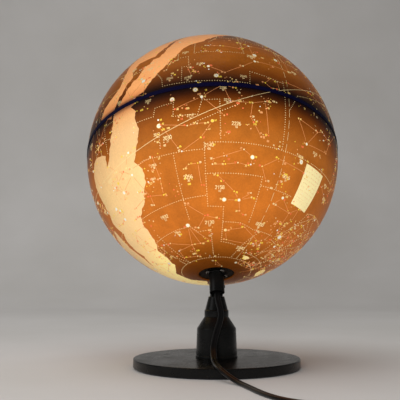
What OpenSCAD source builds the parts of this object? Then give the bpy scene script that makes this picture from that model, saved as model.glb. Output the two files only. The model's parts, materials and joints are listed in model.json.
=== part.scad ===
// Illuminated celestial globe on a slanted neck, a turned column and a heavy round base.
// Millimetres. The origin is at the middle of the base's underside, +Z is up, and the
// globe leans back over +Y, so that its south pole and the open end of the neck face -Y.

/* [Globe] */
// Outer diameter of the globe
globe_d = 250; // [200:1:330]
// Wall of the two shells
shell_wall = 1.5; // [1:0.1:2.5]
// Lean of the polar axis from upright, in degrees
axis_tilt = 23.5; // [15:0.5:30]
// Height of the ring that joins the shells inside
joint_ring_h = 16; // [8:0.5:30]
// Thickness of the joint ring
joint_ring_wall = 1.6; // [1:0.1:3]
// Width of the tape over the seam
tape_w = 4; // [3:0.5:12]
// Thickness of the tape
tape_wall = 0.4; // [0.2:0.1:1]

/* [Pole bearing] */
// Diameter of the outer flange
flange_d = 33.2; // [30:0.2:44]
// Thickness of the outer flange
flange_wall = 2; // [1.5:0.1:3]
// Depth of the flange's face below the globe's pole
flange_sink = 2.2; // [1.5:0.1:4]
// Diameter of the flange's spigot, which passes through the shell
spigot_d = 24.8; // [23:0.1:27]
// Diameter of the inner clamp ring
hub_d = 36; // [30:0.5:44]
// Thickness of the inner clamp ring
hub_wall = 3; // [2:0.1:5]
// Height of the clamp ring's boss
hub_boss_h = 5; // [4:0.5:10]
// Wall of the bearing bush
bush_wall = 1.45; // [1:0.05:2]
// Diameter of the bush's collar
bush_collar_d = 18; // [16:0.5:20]
// Thickness of the bush's collar
bush_collar_wall = 1.5; // [1:0.1:3]
// Pitch circle of the flange screws
screw_pcd = 18.8; // [18.6:0.1:20]
// Number of flange screws
screw_count = 4; // [3:1:6]
// Thread diameter of the flange screws
screw_d = 2.5; // [2:0.1:3]
// Head diameter of the flange screws
screw_head_d = 4.2; // [3.6:0.1:4.2]
// Head height of the flange screws
screw_head_h = 1.9; // [1.2:0.1:2.2]
// Length of the flange screws under the head
screw_len = 10; // [8:0.5:11]

/* [Neck] */
// Outer diameter of the neck tube
neck_d = 13.9; // [13:0.1:14]
// Distance from the globe's pole to the open end of the neck, along the axis
neck_reach = 17.1; // [14:0.1:30]
// Depth of the recess in the open end of the neck
neck_recess = 3.5; // [2:0.1:5]
// Bore of that recess
neck_recess_d = 11.6; // [11:0.1:12.4]
// Thickness of the cable grommet in the recess
grommet_wall = 1.5; // [1:0.1:2]
// Outer diameter of the hollow threaded spindle
spindle_d = 10; // [9.6:0.1:10.4]
// Bore of the spindle
spindle_bore = 7.2; // [6.6:0.1:8]
// Thickness of the friction washer under the flange
friction_washer_wall = 0.6; // [0.4:0.1:1]
// Thickness of the thrust washer over the bush
thrust_washer_wall = 1; // [0.6:0.1:2]
// Diameter of the thrust washer
thrust_washer_d = 18; // [14:0.5:20]
// Thickness of the spring washer
spring_washer_wall = 1.7; // [1:0.1:2.5]
// Width across the flats of the spindle nuts
spindle_nut_af = 14; // [13:0.5:17]
// Thickness of the spindle nuts
spindle_nut_h = 3.5; // [2.5:0.5:5]
// Space along the spindle between the two nuts
spindle_nut_space = 4; // [1:0.5:12]
// Diameter of the grub screw in the side of the neck
grub_screw_d = 2.5; // [2:0.1:3]
// Distance of the grub screw from the open end of the neck
grub_screw_up = 6.2; // [5.4:0.1:9]
// How far the grub screw stands out of the neck
grub_screw_out = 0.5; // [0.1:0.1:1]

/* [Lamp] */
// Diameter of the lamp holder
holder_d = 29; // [28:0.5:34]
// Wall of the lamp holder
holder_wall = 1.5; // [1:0.1:2.5]
// Height of the holder's domed cap
holder_cap_h = 14; // [12:0.5:20]
// Height of the holder's sleeve
holder_body_h = 22; // [20:0.5:32]
// Thickness of the insulating insert
insert_h = 7; // [5:0.5:10]
// Diameter of the bulb's screw cap
bulb_cap_d = 14; // [13:0.5:16]
// Height of the bulb's screw cap
bulb_cap_h = 15; // [12:0.5:20]
// Height of the bulb's base cone
bulb_body_h = 16; // [10:0.5:25]
// Diameter of the bulb's diffuser
diffuser_d = 45; // [40:1:60]
// Wall of the diffuser
diffuser_wall = 1.2; // [0.8:0.1:2]

/* [Column] */
// Height of the column above the base
column_h = 55.6; // [50:0.1:80]
// Diameter of the column's foot
column_foot_d = 38.5; // [30:0.5:50]
// Height of the bead around the foot
foot_bead_h = 2.2; // [1:0.1:4]
// Depth and height of the groove above the bead
foot_groove = 0.4; // [0.2:0.1:0.8]
// Diameter of the column's body under the shoulder
column_body_d = 36; // [28:0.5:48]
// Height of the shoulder's edge above the base
shoulder_z = 27; // [20:0.5:34]
// Height of the lower edge of the collar above the base
collar_z = 37; // [36:0.1:38]
// Height of the collar
collar_h = 5.8; // [3:0.1:8]
// Diameter of the collar
collar_d = 22.4; // [19:0.1:24]
// Width of the small step above the collar
collar_step = 0.8; // [0.4:0.1:1.5]
// Diameter of the column's tip
column_tip_d = 14.6; // [12:0.1:16]
// Distance of the neck's open end in front of the column's axis
neck_front = 8; // [7:0.1:10]
// Height of the middle of the neck's open end above the column's tip
neck_rise = 3.5; // [3:0.1:8]
// Diameter of the stud that runs down through the column
stud_d = 8; // [6:0.5:8.5]
// Diameter of the stud's saddle head, which carries the neck
saddle_d = 12; // [10:0.1:12]
// Height of the saddle head above the column's tip
saddle_h = 10.4; // [9:0.1:11]

/* [Base] */
// Diameter of the base disc
base_d = 153; // [140:1:200]
// Thickness of the base disc
base_h = 8; // [7:0.5:14]
// Bevel around the top edge of the base
base_bevel = 0.5; // [0.2:0.1:2]
// Thickness of the felt pad under the base
pad_wall = 1; // [0.5:0.1:3]
// How far the pad's edge lies inside the edge of the disc
pad_inset = 2; // [1:0.5:8]
// Diameter of the counterbore for the nut under the base
counterbore_d = 24; // [20:0.5:34]
// Depth of that counterbore
counterbore_h = 5; // [4.8:0.1:6]
// Diameter of the washer on the stud
stud_washer_d = 18; // [15:0.5:19]
// Thickness of the washer on the stud
stud_washer_wall = 1.6; // [1:0.1:2]
// Width across the flats of the stud's nut
stud_nut_af = 13; // [12:0.5:16]
// Thickness of the stud's nut
stud_nut_h = 3.2; // [2.5:0.1:3.6]

/* [Cord] */
// Width of the flat twin cord
cord_w = 5.6; // [5:0.1:6]
// Thickness of the flat twin cord
cord_t = 2.8; // [2.4:0.1:3]
// Radius of the coil at its outermost turn
coil_r = 34.6; // [33:0.1:36]
// Turns that lie beside each other in a layer
coil_turns = 3; // [2:1:4]
// Layers of turns in the coil
coil_layers = 2; // [1:1:3]
// Width of the tie around the coil
tie_w = 4; // [2:0.5:8]
// Thickness of the tie
tie_wall = 0.5; // [0.3:0.1:1]

/* [Cord switch] */
// Length of the switch on the cord
switch_l = 62; // [56:1:64]
// Width of the switch
switch_w = 22; // [20:0.5:26]
// Height of the switch
switch_h = 13; // [12:0.5:14]
// Wall of the switch's case
switch_wall = 1.6; // [1:0.1:2.2]
// Length of the hollow inside the switch's case
switch_hollow_l = 38; // [30:1:40]
// How far the cord reaches into each end of the switch
cord_grip = 8; // [4:0.5:10]
// Thread diameter of the switch's screws
switch_screw_d = 2.2; // [2:0.1:2.6]
// Head diameter of the switch's screws
switch_screw_head_d = 4; // [3.4:0.1:4.4]
// Length of the rocker
rocker_l = 13.8; // [12:0.2:16]
// Width of the rocker
rocker_w = 8; // [6:0.2:9]
// Half of the rocker's swing, in degrees
rocker_swing = 8; // [4:1:10]
// Diameter of the rocker's pivot
rocker_pivot_d = 2.4; // [2:0.1:3]

/* [Plug] */
// Length of the plug's body
plug_l = 35; // [30:1:40]
// Width of the plug's body at the pins
plug_w = 35.3; // [33:0.1:36]
// Thickness of the plug's body
plug_t = 13.7; // [13:0.1:15]
// Diameter of a pin
pin_d = 4; // [3.8:0.1:4.2]
// Length of a pin
pin_l = 19; // [17:0.5:20]
// Distance between the pins
pin_space = 18.6; // [17:0.1:19]
// Length of the plug's strain relief
plug_sleeve_l = 20; // [14:1:24]

/* [Hidden] */
PAIR = [1, 2];

$fn = 96;
// Small overshoot that makes cuts run clear through a face
over = 1;
// Clearance along and around the axis between turning and standing pieces
run_gap = 0.1;
// Radial clearance of the spindle in its bush
bearing_gap = 0.05;
// Radial clearance of parts that slip together by hand
slip_gap = 0.2;
// Radial clearance of a screw in its through hole
screw_gap = 0.1;
// Space under the seam tape, where its glue is
tape_gap = 0.15;

// Main places that follow from the driving dimensions
globe_r = globe_d / 2;
base_top = pad_wall + base_h;
column_top = base_top + column_h;
neck_end = [0, -neck_front, column_top + neck_rise];
axis_dir = [0, sin(axis_tilt), cos(axis_tilt)];
pole_point = neck_end + axis_dir * neck_reach;

// Heights along the polar axis, counted inwards from the south pole
flange_in = flange_sink + flange_wall;
seat_in = flange_in + shell_wall;
seat_r = flange_d / 2 + slip_gap;
hub_plate_in = seat_in + hub_wall;
hub_boss_in = hub_plate_in + hub_boss_h;
bush_in = hub_boss_in + bush_collar_wall;
thrust_z = bush_in + run_gap;
spring_z = thrust_z + thrust_washer_wall;
first_nut_z = spring_z + spring_washer_wall;
second_nut_z = first_nut_z + spindle_nut_h + spindle_nut_space;
holder_z = second_nut_z + spindle_nut_h;
holder_entry_h = 5;
spindle_top = holder_z + holder_entry_h + 2;
spindle_low = neck_recess - neck_reach;
neck_tube_top = flange_sink - run_gap - friction_washer_wall;
bush_r = spindle_d / 2 + bearing_gap + bush_wall;
// Wall of the clamp ring's boss outside its screws
hub_boss_wall = 2.2;
hub_boss_r = screw_pcd / 2 + screw_d / 2 + hub_boss_wall;
holder_body_z = holder_z + holder_cap_h;
holder_top = holder_body_z + holder_body_h;
insert_top = holder_body_z + insert_h;
bulb_contact_h = 1.5;
spring_contact_h = 1.5;
bulb_contact_z = insert_top + spring_contact_h;
bulb_cap_z = bulb_contact_z + bulb_contact_h;
bulb_body_z = bulb_cap_z + bulb_cap_h;
diffuser_z = bulb_body_z + bulb_body_h;
diffuser_mouth_r = diffuser_d * 0.39;
diffuser_mid = diffuser_z + sqrt(pow(diffuser_d / 2, 2) - pow(diffuser_mouth_r, 2));
terminal_x = 7;
first_screw = -62;
terminal_size = [3, 5, 2.2];
terminal_screw_size = [2, 1.2];
spring_contact_d = 4;

// Places of the cord's pieces on the floor
coil_mid = [8, -272];
switch_mid = [31, -334];
plug_mouth = [-56, -306];
coil_low = tie_wall;
coil_h = coil_layers * cord_w + 0.2;
coil_inner = coil_r - (coil_turns - 1) * (cord_t + 0.1) - cord_t / 2;
coil_outer = coil_r + cord_t / 2;
// How far short of its tangent point the cord's straight stretch meets the coil
coil_overlap = 6;
switch_split = switch_h / 2;
// Depth of the screw heads' seat in the switch, their place across it and their thread above it
switch_screw_z = 2;
switch_screw_y = 6.4;
switch_thread_l = 4;
// The rocker's pivot under the top of the switch, and the ears that carry it
rocker_axis_drop = 2.6;
rocker_axis_z = switch_h - rocker_axis_drop;
ear_wall = 1.6;
ear_y = rocker_w / 2 + 0.3;
plug_axis_z = plug_t / 2;

// Places things on the polar axis, with z = 0 at the south pole and +z towards the north
module on_axis() {
    translate(pole_point) rotate([-axis_tilt, 0, 0]) children();
}

module ring(r_out, r_in, z_low, z_high) {
    translate([0, 0, z_low]) difference() {
        cylinder(r = r_out, h = z_high - z_low);
        translate([0, 0, -over]) cylinder(r = r_in, h = z_high - z_low + 2 * over);
    }
}

module hexagon(across_flats, h) {
    cylinder(d = across_flats / cos(30), h = h, $fn = 6);
}

module hex_nut(across_flats, bore_d, h) {
    difference() {
        hexagon(across_flats, h);
        translate([0, 0, -over]) cylinder(d = bore_d, h = h + 2 * over);
    }
}

// Straight round rod from one point to another
module rod_between(a, b, r) {
    d = b - a;
    across = norm([d[0], d[1]]);
    translate(a) rotate([0, atan2(across, d[2]), atan2(d[1], d[0])]) cylinder(r = r, h = norm(d));
}

// Outline of the flat twin cord: two round cores side by side with a web between them
module cord_outline() {
    core_x = (cord_w - cord_t) / 2;
    web = cord_t * 0.7;
    for (side = [-1, 1]) translate([side * core_x, 0]) circle(d = cord_t, $fn = 32);
    square([2 * core_x, web], center = true);
}

// Left for the first of a pair and right for the second
function side_of(i) = i == 1 ? -1 : 1;

// Places one flange screw, the first one in front on the right
module at_screw(i) {
    rotate([0, 0, first_screw + (i - 1) * 360 / screw_count]) translate([screw_pcd / 2, 0, 0]) children();
}

// Base and column

module base_disc() {
    color("black") difference() {
        union() {
            translate([0, 0, pad_wall]) cylinder(d = base_d, h = base_h - base_bevel);
            translate([0, 0, base_top - base_bevel])
                cylinder(d1 = base_d, d2 = base_d - 2 * base_bevel, h = base_bevel);
        }
        translate([0, 0, pad_wall - over]) cylinder(d = counterbore_d, h = counterbore_h + over);
        translate([0, 0, pad_wall]) cylinder(d = stud_d + 2 * slip_gap, h = base_h + over);
    }
}

module base_pad() {
    color("dimgray") cylinder(d = base_d - 2 * pad_inset, h = pad_wall);
}

module column_body() {
    bore_r = stud_d / 2 + slip_gap;
    foot_r = column_foot_d / 2;
    body_r = column_body_d / 2;
    edge_round = 0.7;
    color("black") translate([0, 0, base_top]) rotate_extrude() polygon([
        [bore_r, 0],
        [foot_r, 0],
        [foot_r, foot_bead_h],
        [foot_r - foot_groove, foot_bead_h + foot_groove],
        [foot_r - foot_groove, foot_bead_h + 2 * foot_groove],
        [body_r, shoulder_z - edge_round],
        [body_r - edge_round, shoulder_z + edge_round * 0.6],
        [collar_d / 2, collar_z],
        [bore_r, collar_z]
    ]);
}

module column_neck() {
    bore_r = stud_d / 2 + slip_gap;
    collar_top = collar_z + collar_h;
    color("black") translate([0, 0, base_top]) rotate_extrude() polygon([
        [bore_r, collar_z],
        [collar_d / 2, collar_z],
        [collar_d / 2, collar_top],
        [collar_d / 2 - collar_step, collar_top + collar_step],
        [column_tip_d / 2, column_h],
        [bore_r, column_h]
    ]);
}

// Threaded stud with a saddle head: the neck tube lies in the saddle and is welded to it
module column_stud() {
    stud_low = pad_wall + 0.1;
    below = 60;
    color("black") difference() {
        union() {
            translate([0, 0, stud_low]) cylinder(d = stud_d, h = column_top - stud_low);
            translate([0, 0, column_top]) cylinder(d = saddle_d, h = saddle_h);
        }
        on_axis() translate([0, 0, -neck_reach - below]) cylinder(d = neck_d, h = below + neck_reach);
    }
}

module stud_washer() {
    top = pad_wall + counterbore_h;
    color("silver") ring(stud_washer_d / 2, stud_d / 2 + slip_gap, top - stud_washer_wall, top);
}

module stud_nut() {
    top = pad_wall + counterbore_h - stud_washer_wall;
    color("silver") translate([0, 0, top - stud_nut_h]) hex_nut(stud_nut_af, stud_d, stud_nut_h);
}

// Neck and pole bearing

module neck_tube() {
    color("black") on_axis() difference() {
        ring(neck_d / 2, spindle_d / 2, -neck_reach, neck_tube_top);
        translate([0, 0, -neck_reach - over]) cylinder(d = neck_recess_d, h = neck_recess + over);
        at_grub_screw() cylinder(d = grub_screw_d, h = neck_d);
    }
}

// Places the grub screw's hole: its z axis points out of the neck's side, on +X
module at_grub_screw() {
    translate([0, 0, grub_screw_up - neck_reach]) rotate([0, 90, 0]) children();
}

module neck_grub_screw() {
    socket_d = grub_screw_d * 0.5;
    length = (neck_d - spindle_d) / 2 + grub_screw_out;
    color("gray") on_axis() at_grub_screw() translate([0, 0, spindle_d / 2]) difference() {
        cylinder(d = grub_screw_d, h = length);
        translate([0, 0, length - socket_d]) hexagon(socket_d, socket_d + over);
    }
}

module cable_grommet() {
    low = neck_recess - grommet_wall - neck_reach;
    color("dimgray") on_axis() translate([0, 0, low]) difference() {
        cylinder(d = neck_recess_d, h = grommet_wall);
        translate([0, 0, -over]) linear_extrude(grommet_wall + 2 * over) cord_outline();
    }
}

module spindle() {
    color("silver") on_axis() ring(spindle_d / 2, spindle_bore / 2, spindle_low, spindle_top);
}

module friction_washer() {
    color("ivory") on_axis()
        ring(neck_d / 2, spindle_d / 2, neck_tube_top, neck_tube_top + friction_washer_wall);
}

module thrust_washer() {
    color("silver") on_axis()
        ring(thrust_washer_d / 2, spindle_d / 2, thrust_z, thrust_z + thrust_washer_wall);
}

// Split ring that keeps the bearing under a light load
module spring_washer() {
    slit = 1.2;
    rim = 3;
    washer_d = spindle_d + 2 * rim;
    color("silver") on_axis() difference() {
        ring(washer_d / 2, spindle_d / 2, spring_z, spring_z + spring_washer_wall);
        translate([0, -slit / 2, spring_z - over]) cube([washer_d, slit, spring_washer_wall + 2 * over]);
    }
}

// The first nut holds the bearing and the second one carries the lamp holder
module spindle_nut(i) {
    color("silver") on_axis() translate([0, 0, i == 1 ? first_nut_z : second_nut_z])
        hex_nut(spindle_nut_af, spindle_d, spindle_nut_h);
}

module pole_flange() {
    edge = 0.5;
    bore_r = spindle_d / 2 + 2 * slip_gap;
    color("black") on_axis() difference() {
        union() {
            translate([0, 0, flange_sink])
                cylinder(d1 = flange_d - 2 * edge, d2 = flange_d, h = edge);
            translate([0, 0, flange_sink + edge]) cylinder(d = flange_d, h = flange_wall - edge);
            translate([0, 0, flange_in]) cylinder(d = spigot_d, h = shell_wall);
        }
        cylinder(r = bore_r, h = seat_in + over);
        for (i = [1 : screw_count]) at_screw(i)
            cylinder(d = screw_d + 2 * screw_gap, h = seat_in + over);
    }
}

// Cross-head screw with a low round head
module flange_screw(i) {
    dome = 0.5;
    slot = 0.6;
    color("silver") on_axis() at_screw(i) difference() {
        union() {
            translate([0, 0, flange_sink]) cylinder(d = screw_d, h = screw_len, $fn = 32);
            translate([0, 0, flange_sink - screw_head_h + dome])
                cylinder(d = screw_head_d, h = screw_head_h - dome, $fn = 32);
            translate([0, 0, flange_sink - screw_head_h])
                cylinder(d1 = screw_head_d - 2 * dome, d2 = screw_head_d, h = dome, $fn = 32);
        }
        for (turn = [0, 90]) translate([0, 0, flange_sink - screw_head_h]) rotate([0, 0, turn])
            cube([screw_head_d * 0.6, slot, 2 * dome], center = true);
    }
}

// Ring inside the globe: the screws pull it against the shell, and it holds the bush
module hub_ring() {
    hole_end = flange_sink + screw_len + 0.5;
    color("whitesmoke") on_axis() difference() {
        union() {
            translate([0, 0, seat_in]) cylinder(d = hub_d, h = hub_wall);
            translate([0, 0, hub_plate_in]) cylinder(r = hub_boss_r, h = hub_boss_h);
        }
        translate([0, 0, seat_in - over]) cylinder(r = bush_r, h = hub_wall + hub_boss_h + 2 * over);
        for (i = [1 : screw_count]) at_screw(i) cylinder(d = screw_d, h = hole_end, $fn = 32);
    }
}

module hub_bush() {
    bore_r = spindle_d / 2 + bearing_gap;
    color("goldenrod") on_axis() {
        difference() {
            union() {
                translate([0, 0, seat_in]) cylinder(r = bush_r, h = hub_boss_in - seat_in);
                translate([0, 0, hub_boss_in]) cylinder(d = bush_collar_d, h = bush_collar_wall);
            }
            cylinder(r = bore_r, h = bush_in + over);
        }
    }
}

// Globe

// Half of the sphere's skin: side is -1 for the south and 1 for the north
module half_shell(side) {
    intersection() {
        difference() {
            sphere(r = globe_r);
            sphere(r = globe_r - shell_wall);
        }
        translate([-globe_d, -globe_d, side < 0 ? -globe_d : 0]) cube([2 * globe_d, 2 * globe_d, globe_d]);
    }
}

module to_globe_middle() {
    translate([0, 0, globe_r]) children();
}

// South half, with a flat-bottomed seat at the pole for the flange
module lower_hemisphere() {
    color("peru") on_axis() difference() {
        union() {
            to_globe_middle() half_shell(-1);
            intersection() {
                to_globe_middle() sphere(r = globe_r);
                cylinder(r = seat_r + shell_wall, h = seat_in);
            }
        }
        translate([0, 0, -over]) cylinder(r = seat_r, h = flange_in + over);
        cylinder(d = spigot_d + 2 * slip_gap, h = seat_in + over);
    }
}

module upper_hemisphere() {
    color("peru") on_axis() to_globe_middle() half_shell(1);
}

module band(r_out, r_in, w) {
    intersection() {
        difference() {
            sphere(r = r_out);
            sphere(r = r_in);
        }
        translate([-globe_d, -globe_d, -w / 2]) cube([2 * globe_d, 2 * globe_d, w]);
    }
}

module joint_ring() {
    ring_r = globe_r - shell_wall;
    color("dimgray") on_axis() to_globe_middle() band(ring_r, ring_r - joint_ring_wall, joint_ring_h);
}

module seam_tape() {
    color("midnightblue") on_axis() to_globe_middle() band(globe_r + tape_wall, globe_r + tape_gap, tape_w);
}

// Lamp

module holder_cap() {
    entry_r = spindle_d / 2 + 3;
    outer_r = holder_d / 2;
    color("dimgray") on_axis() translate([0, 0, holder_z]) rotate_extrude() polygon([
        [spindle_d / 2, 0],
        [entry_r, 0],
        [entry_r, holder_entry_h - 1],
        [outer_r, holder_cap_h - 3],
        [outer_r, holder_cap_h],
        [outer_r - holder_wall, holder_cap_h],
        [outer_r - holder_wall, holder_cap_h - 3],
        [entry_r - 1, holder_entry_h],
        [spindle_d / 2, holder_entry_h]
    ]);
}

module holder_body() {
    outer_r = holder_d / 2;
    mouth_r = bulb_cap_d / 2 + 2.4;
    lip = 2;
    color("dimgray") on_axis() {
        ring(outer_r, outer_r - holder_wall, holder_body_z, holder_top - lip);
        ring(outer_r, mouth_r, holder_top - lip, holder_top);
    }
}

// Insulating core with the threaded socket that the bulb screws into
module holder_insert() {
    socket_r = bulb_cap_d / 2 + slip_gap;
    socket_top = holder_top - 1;
    color("ivory") on_axis() {
        translate([0, 0, holder_body_z]) cylinder(r = holder_d / 2 - holder_wall, h = insert_h);
        ring(socket_r + 1.6, socket_r, insert_top, socket_top);
    }
}

module centre_contact() {
    color("goldenrod") on_axis() translate([0, 0, insert_top])
        cylinder(d = spring_contact_d, h = spring_contact_h, $fn = 32);
}

module terminal(i) {
    color("goldenrod") on_axis()
        translate([side_of(i) * terminal_x, 0, holder_body_z - terminal_size[2] / 2])
        cube(terminal_size, center = true);
}

module terminal_screw(i) {
    color("silver") on_axis()
        translate([side_of(i) * (terminal_x + terminal_size[0] / 2), 0, 0])
        translate([0, 0, holder_body_z - terminal_size[2] / 2])
        rotate([0, side_of(i) * 90, 0])
        cylinder(d = terminal_screw_size[0], h = terminal_screw_size[1], $fn = 24);
}

module bulb_contact() {
    color("silver") on_axis() translate([0, 0, bulb_contact_z])
        cylinder(d1 = spring_contact_d, d2 = bulb_cap_d * 0.6, h = bulb_contact_h);
}

module bulb_cap() {
    color("silver") on_axis() translate([0, 0, bulb_cap_z]) cylinder(d = bulb_cap_d, h = bulb_cap_h);
}

module bulb_body() {
    color("white") on_axis() translate([0, 0, bulb_body_z])
        cylinder(r1 = bulb_cap_d / 2 + 1, r2 = diffuser_mouth_r, h = bulb_body_h);
}

module bulb_diffuser() {
    color("white") on_axis() difference() {
        translate([0, 0, diffuser_mid]) difference() {
            sphere(d = diffuser_d);
            sphere(d = diffuser_d - 2 * diffuser_wall);
        }
        translate([0, 0, diffuser_z - diffuser_d]) cylinder(d = diffuser_d, h = diffuser_d);
    }
}

// Cable inside the neck, from the open end up into the holder's cap
module internal_lead() {
    color("black") on_axis() translate([0, 0, -neck_reach])
        linear_extrude(spindle_top + 1 + neck_reach) cord_outline();
}

module lead_wire(i) {
    wire_r = 0.8;
    start_z = spindle_top + 1 + wire_r;
    end_z = holder_body_z - terminal_size[2] - wire_r;
    core_x = (cord_w - cord_t) / 2;
    color("sienna") on_axis()
        rod_between([side_of(i) * core_x, 0, start_z], [side_of(i) * terminal_x, 0, end_z], wire_r);
}

// Cord

// Route points are [x, y, z, twist]: twist turns the flat cord about its own line, in degrees
lead_route = [
    [0.4, -11, 61.6, 0], [1.8, -13.7, 55.3, 0], [2.5, -16.2, 49, 0], [1.4, -18.5, 42.8, 0],
    [-0.8, -20.6, 36.6, 0], [-2.9, -22.7, 30.4, 0], [-4.4, -25.1, 24.4, 0], [-5.2, -28.8, 18.9, 0],
    [-5.4, -33.9, 14.5, 0], [-5.3, -40.2, 11.5, 0], [-5.2, -47.1, 10.5, 0], [-5.3, -58, 10.5, 0],
    [-5.4, -68, 10.5, 0], [-5.2, -75, 10.6, 0], [-4.1, -81, 9.9, 0], [-1.3, -87, 7.8, 0],
    [2.9, -93, 5, 0], [7.2, -99.4, 2.7, 0], [10.8, -107, 1.6, 0], [13.4, -116, 1.4, 0],
    [16.3, -129, 1.4, 0], [19.6, -143, 1.4, 0], [23.6, -156, 1.4, 0], [29, -168, 1.4, 0],
    [37, -179, 1.4, 0], [48, -188, 1.4, 0], [60, -197, 1.4, 0], [71, -208, 1.4, 0],
    [80, -222, 1.4, 0], [86, -238, 1.4, 0], [90, -256, 1.4, 0], [92, -274, 1.5, 0],
    [92, -290, 2, 0], [90.5, -304, 3.1, 0], [86, -317, 4.6, 0], [77, -328, 5.9, 0],
    [66, -333.2, 6.5, 0]
];
tail_route = [
    [-4, -334, 6.4, 0], [-10.5, -331.8, 5.9, 10], [-17, -327, 4.9, 28], [-22, -320, 3.9, 48],
    [-25, -311, 3.3, 68], [-26.4, -300, 3.3, 85], [-26.6, -290, 3.3, 90]
];
end_route = [
    [-6, -306.6, 9.1, 90], [-18, -306.5, 9.1, 90], [-29, -306.4, 9, 80], [-40, -306.2, 8.2, 40],
    [-49, -306, 7.2, 10]
];

function unit(v) = v / norm(v);
function spot(p) = [p[0], p[1], p[2]];
function along(path, i, first, last) =
    i == 0 ? first : i == len(path) - 1 ? last : unit(spot(path[i + 1]) - spot(path[i - 1]));
function carried(side, dir) = unit(side - (side * dir) * dir);
// The cord's side direction at each point, carried from point to point without turning about its line
function sides(path, first, last, side, i = 0) =
    i == len(path) ? [] :
    let (now = carried(side, along(path, i, first, last)))
    concat([now], sides(path, first, last, now, i + 1));

// Flat cord with eight sides along a path, first and last are its directions at the two ends
module flat_cord(path, first, last, side) {
    count = len(path);
    side_dirs = sides(path, first, last, side);
    corner = [for (i = [0 : count - 1]) let (
            dir = along(path, i, first, last),
            turn = path[i][3],
            flat = side_dirs[i],
            up = cross(dir, flat),
            wide = flat * cos(turn) + up * sin(turn),
            thin = up * cos(turn) - flat * sin(turn)
        ) for (k = [0 : 7])
            spot(path[i]) + wide * (cos(k * 45) * cord_w / 2) + thin * (sin(k * 45) * cord_t / 2)];
    skin = [for (i = [0 : count - 2]) for (k = [0 : 7]) let (a = i * 8 + k, b = i * 8 + (k + 1) % 8)
            each [[a, a + 8, b + 8], [a, b + 8, b]]];
    near_end = [[for (k = [0 : 7]) k]];
    far_end = [[for (k = [7 : -1 : 0]) (count - 1) * 8 + k]];
    polyhedron(points = corner, faces = concat(skin, near_end, far_end), convexity = 10);
}

module cord_lead() {
    start = concat(neck_end, [0]);
    finish = [switch_mid[0] + switch_l / 2 - cord_grip, switch_mid[1], switch_split, 0];
    color("black") flat_cord(concat([start], lead_route, [finish]), -axis_dir, [-1, 0, 0], [1, 0, 0]);
}

module cord_tail() {
    start = [switch_mid[0] - switch_l / 2 + cord_grip, switch_mid[1], switch_split, 0];
    finish = [coil_mid[0] - coil_r, coil_mid[1] - coil_overlap, coil_low + cord_w / 2, 90];
    color("black") flat_cord(concat([start], tail_route, [finish]), [-1, 0, 0], [0, 1, 0], [0, -1, 0]);
}

module cord_end() {
    start = [coil_mid[0] - coil_overlap, coil_mid[1] - coil_r, coil_low + coil_h - cord_w / 2, 90];
    finish = [plug_mouth[0], plug_mouth[1], plug_axis_z, 0];
    color("black") flat_cord(concat([start], end_route, [finish]), [-1, 0, 0], [-1, 0, 0], [0, -1, 0]);
}

module cord_coil() {
    color("black") translate([coil_mid[0], coil_mid[1], coil_low]) rotate_extrude()
        translate([coil_inner, 0]) square([coil_outer - coil_inner, coil_h]);
}

// Tie around the coil at its right-hand side
module coil_tie() {
    inside = [coil_outer - coil_inner, coil_h];
    slack = 0.3;
    color("white") translate([coil_mid[0] + coil_inner - slack, coil_mid[1] + tie_w / 2, 0])
        rotate([90, 0, 0]) linear_extrude(tie_w) difference() {
            translate([-tie_wall, 0])
                square([inside[0] + 2 * slack + 2 * tie_wall, inside[1] + 2 * tie_wall]);
            translate([0, tie_wall]) square([inside[0] + 2 * slack, inside[1]]);
        }
}

// Cord switch

// Oval of the switch's case, drawn about its own middle
module switch_outline() {
    end_x = (switch_l - switch_w) / 2;
    for (side = [-1, 1]) translate([side * end_x, 0]) circle(d = switch_w);
    square([2 * end_x, switch_w], center = true);
}

module at_switch() {
    translate([switch_mid[0], switch_mid[1], 0]) children();
}

// One half of the case, open towards the other half
module switch_half(z_low) {
    difference() {
        translate([0, 0, z_low]) linear_extrude(switch_split) switch_outline();
        translate([0, 0, switch_split]) cube(
            [switch_hollow_l, switch_w - 2 * switch_wall, 2 * (switch_split - switch_wall)],
            center = true
        );
        translate([0, 0, switch_split])
            cube([switch_l + 2 * over, cord_w + 2 * screw_gap, cord_t + 2 * screw_gap], center = true);
    }
}

module at_switch_screw(i) {
    translate([side_of(i) * (switch_hollow_l / 2 + switch_screw_head_d), -switch_screw_y, 0]) children();
}

module switch_base() {
    color("black") at_switch() difference() {
        switch_half(0);
        for (i = PAIR) at_switch_screw(i) {
            translate([0, 0, -over])
                cylinder(d = switch_screw_head_d + 2 * slip_gap, h = over + switch_screw_z, $fn = 32);
            cylinder(d = switch_screw_d + 2 * screw_gap, h = switch_split + over, $fn = 32);
        }
    }
}

module switch_cover() {
    ear_l = rocker_pivot_d + 3;
    ear_low = rocker_axis_z - rocker_pivot_d / 2 - 1.4;
    color("black") at_switch() difference() {
        union() {
            switch_half(switch_split);
            for (side = [-1, 1]) translate([0, side * (ear_y + ear_wall / 2), 0])
                translate([-ear_l / 2, -ear_wall / 2, ear_low])
                cube([ear_l, ear_wall, switch_h - ear_low - switch_wall / 2]);
        }
        translate([0, 0, switch_h]) cube([rocker_l + 1.6, 2 * ear_y, 2 * switch_wall + over], center = true);
        for (i = PAIR) at_switch_screw(i) translate([0, 0, switch_split - over])
            cylinder(d = switch_screw_d, h = over + switch_thread_l, $fn = 32);
        translate([0, 0, rocker_axis_z]) rotate([90, 0, 0])
            cylinder(d = rocker_pivot_d + 2 * bearing_gap, h = 2 * (ear_y + ear_wall), center = true);
    }
}

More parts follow.
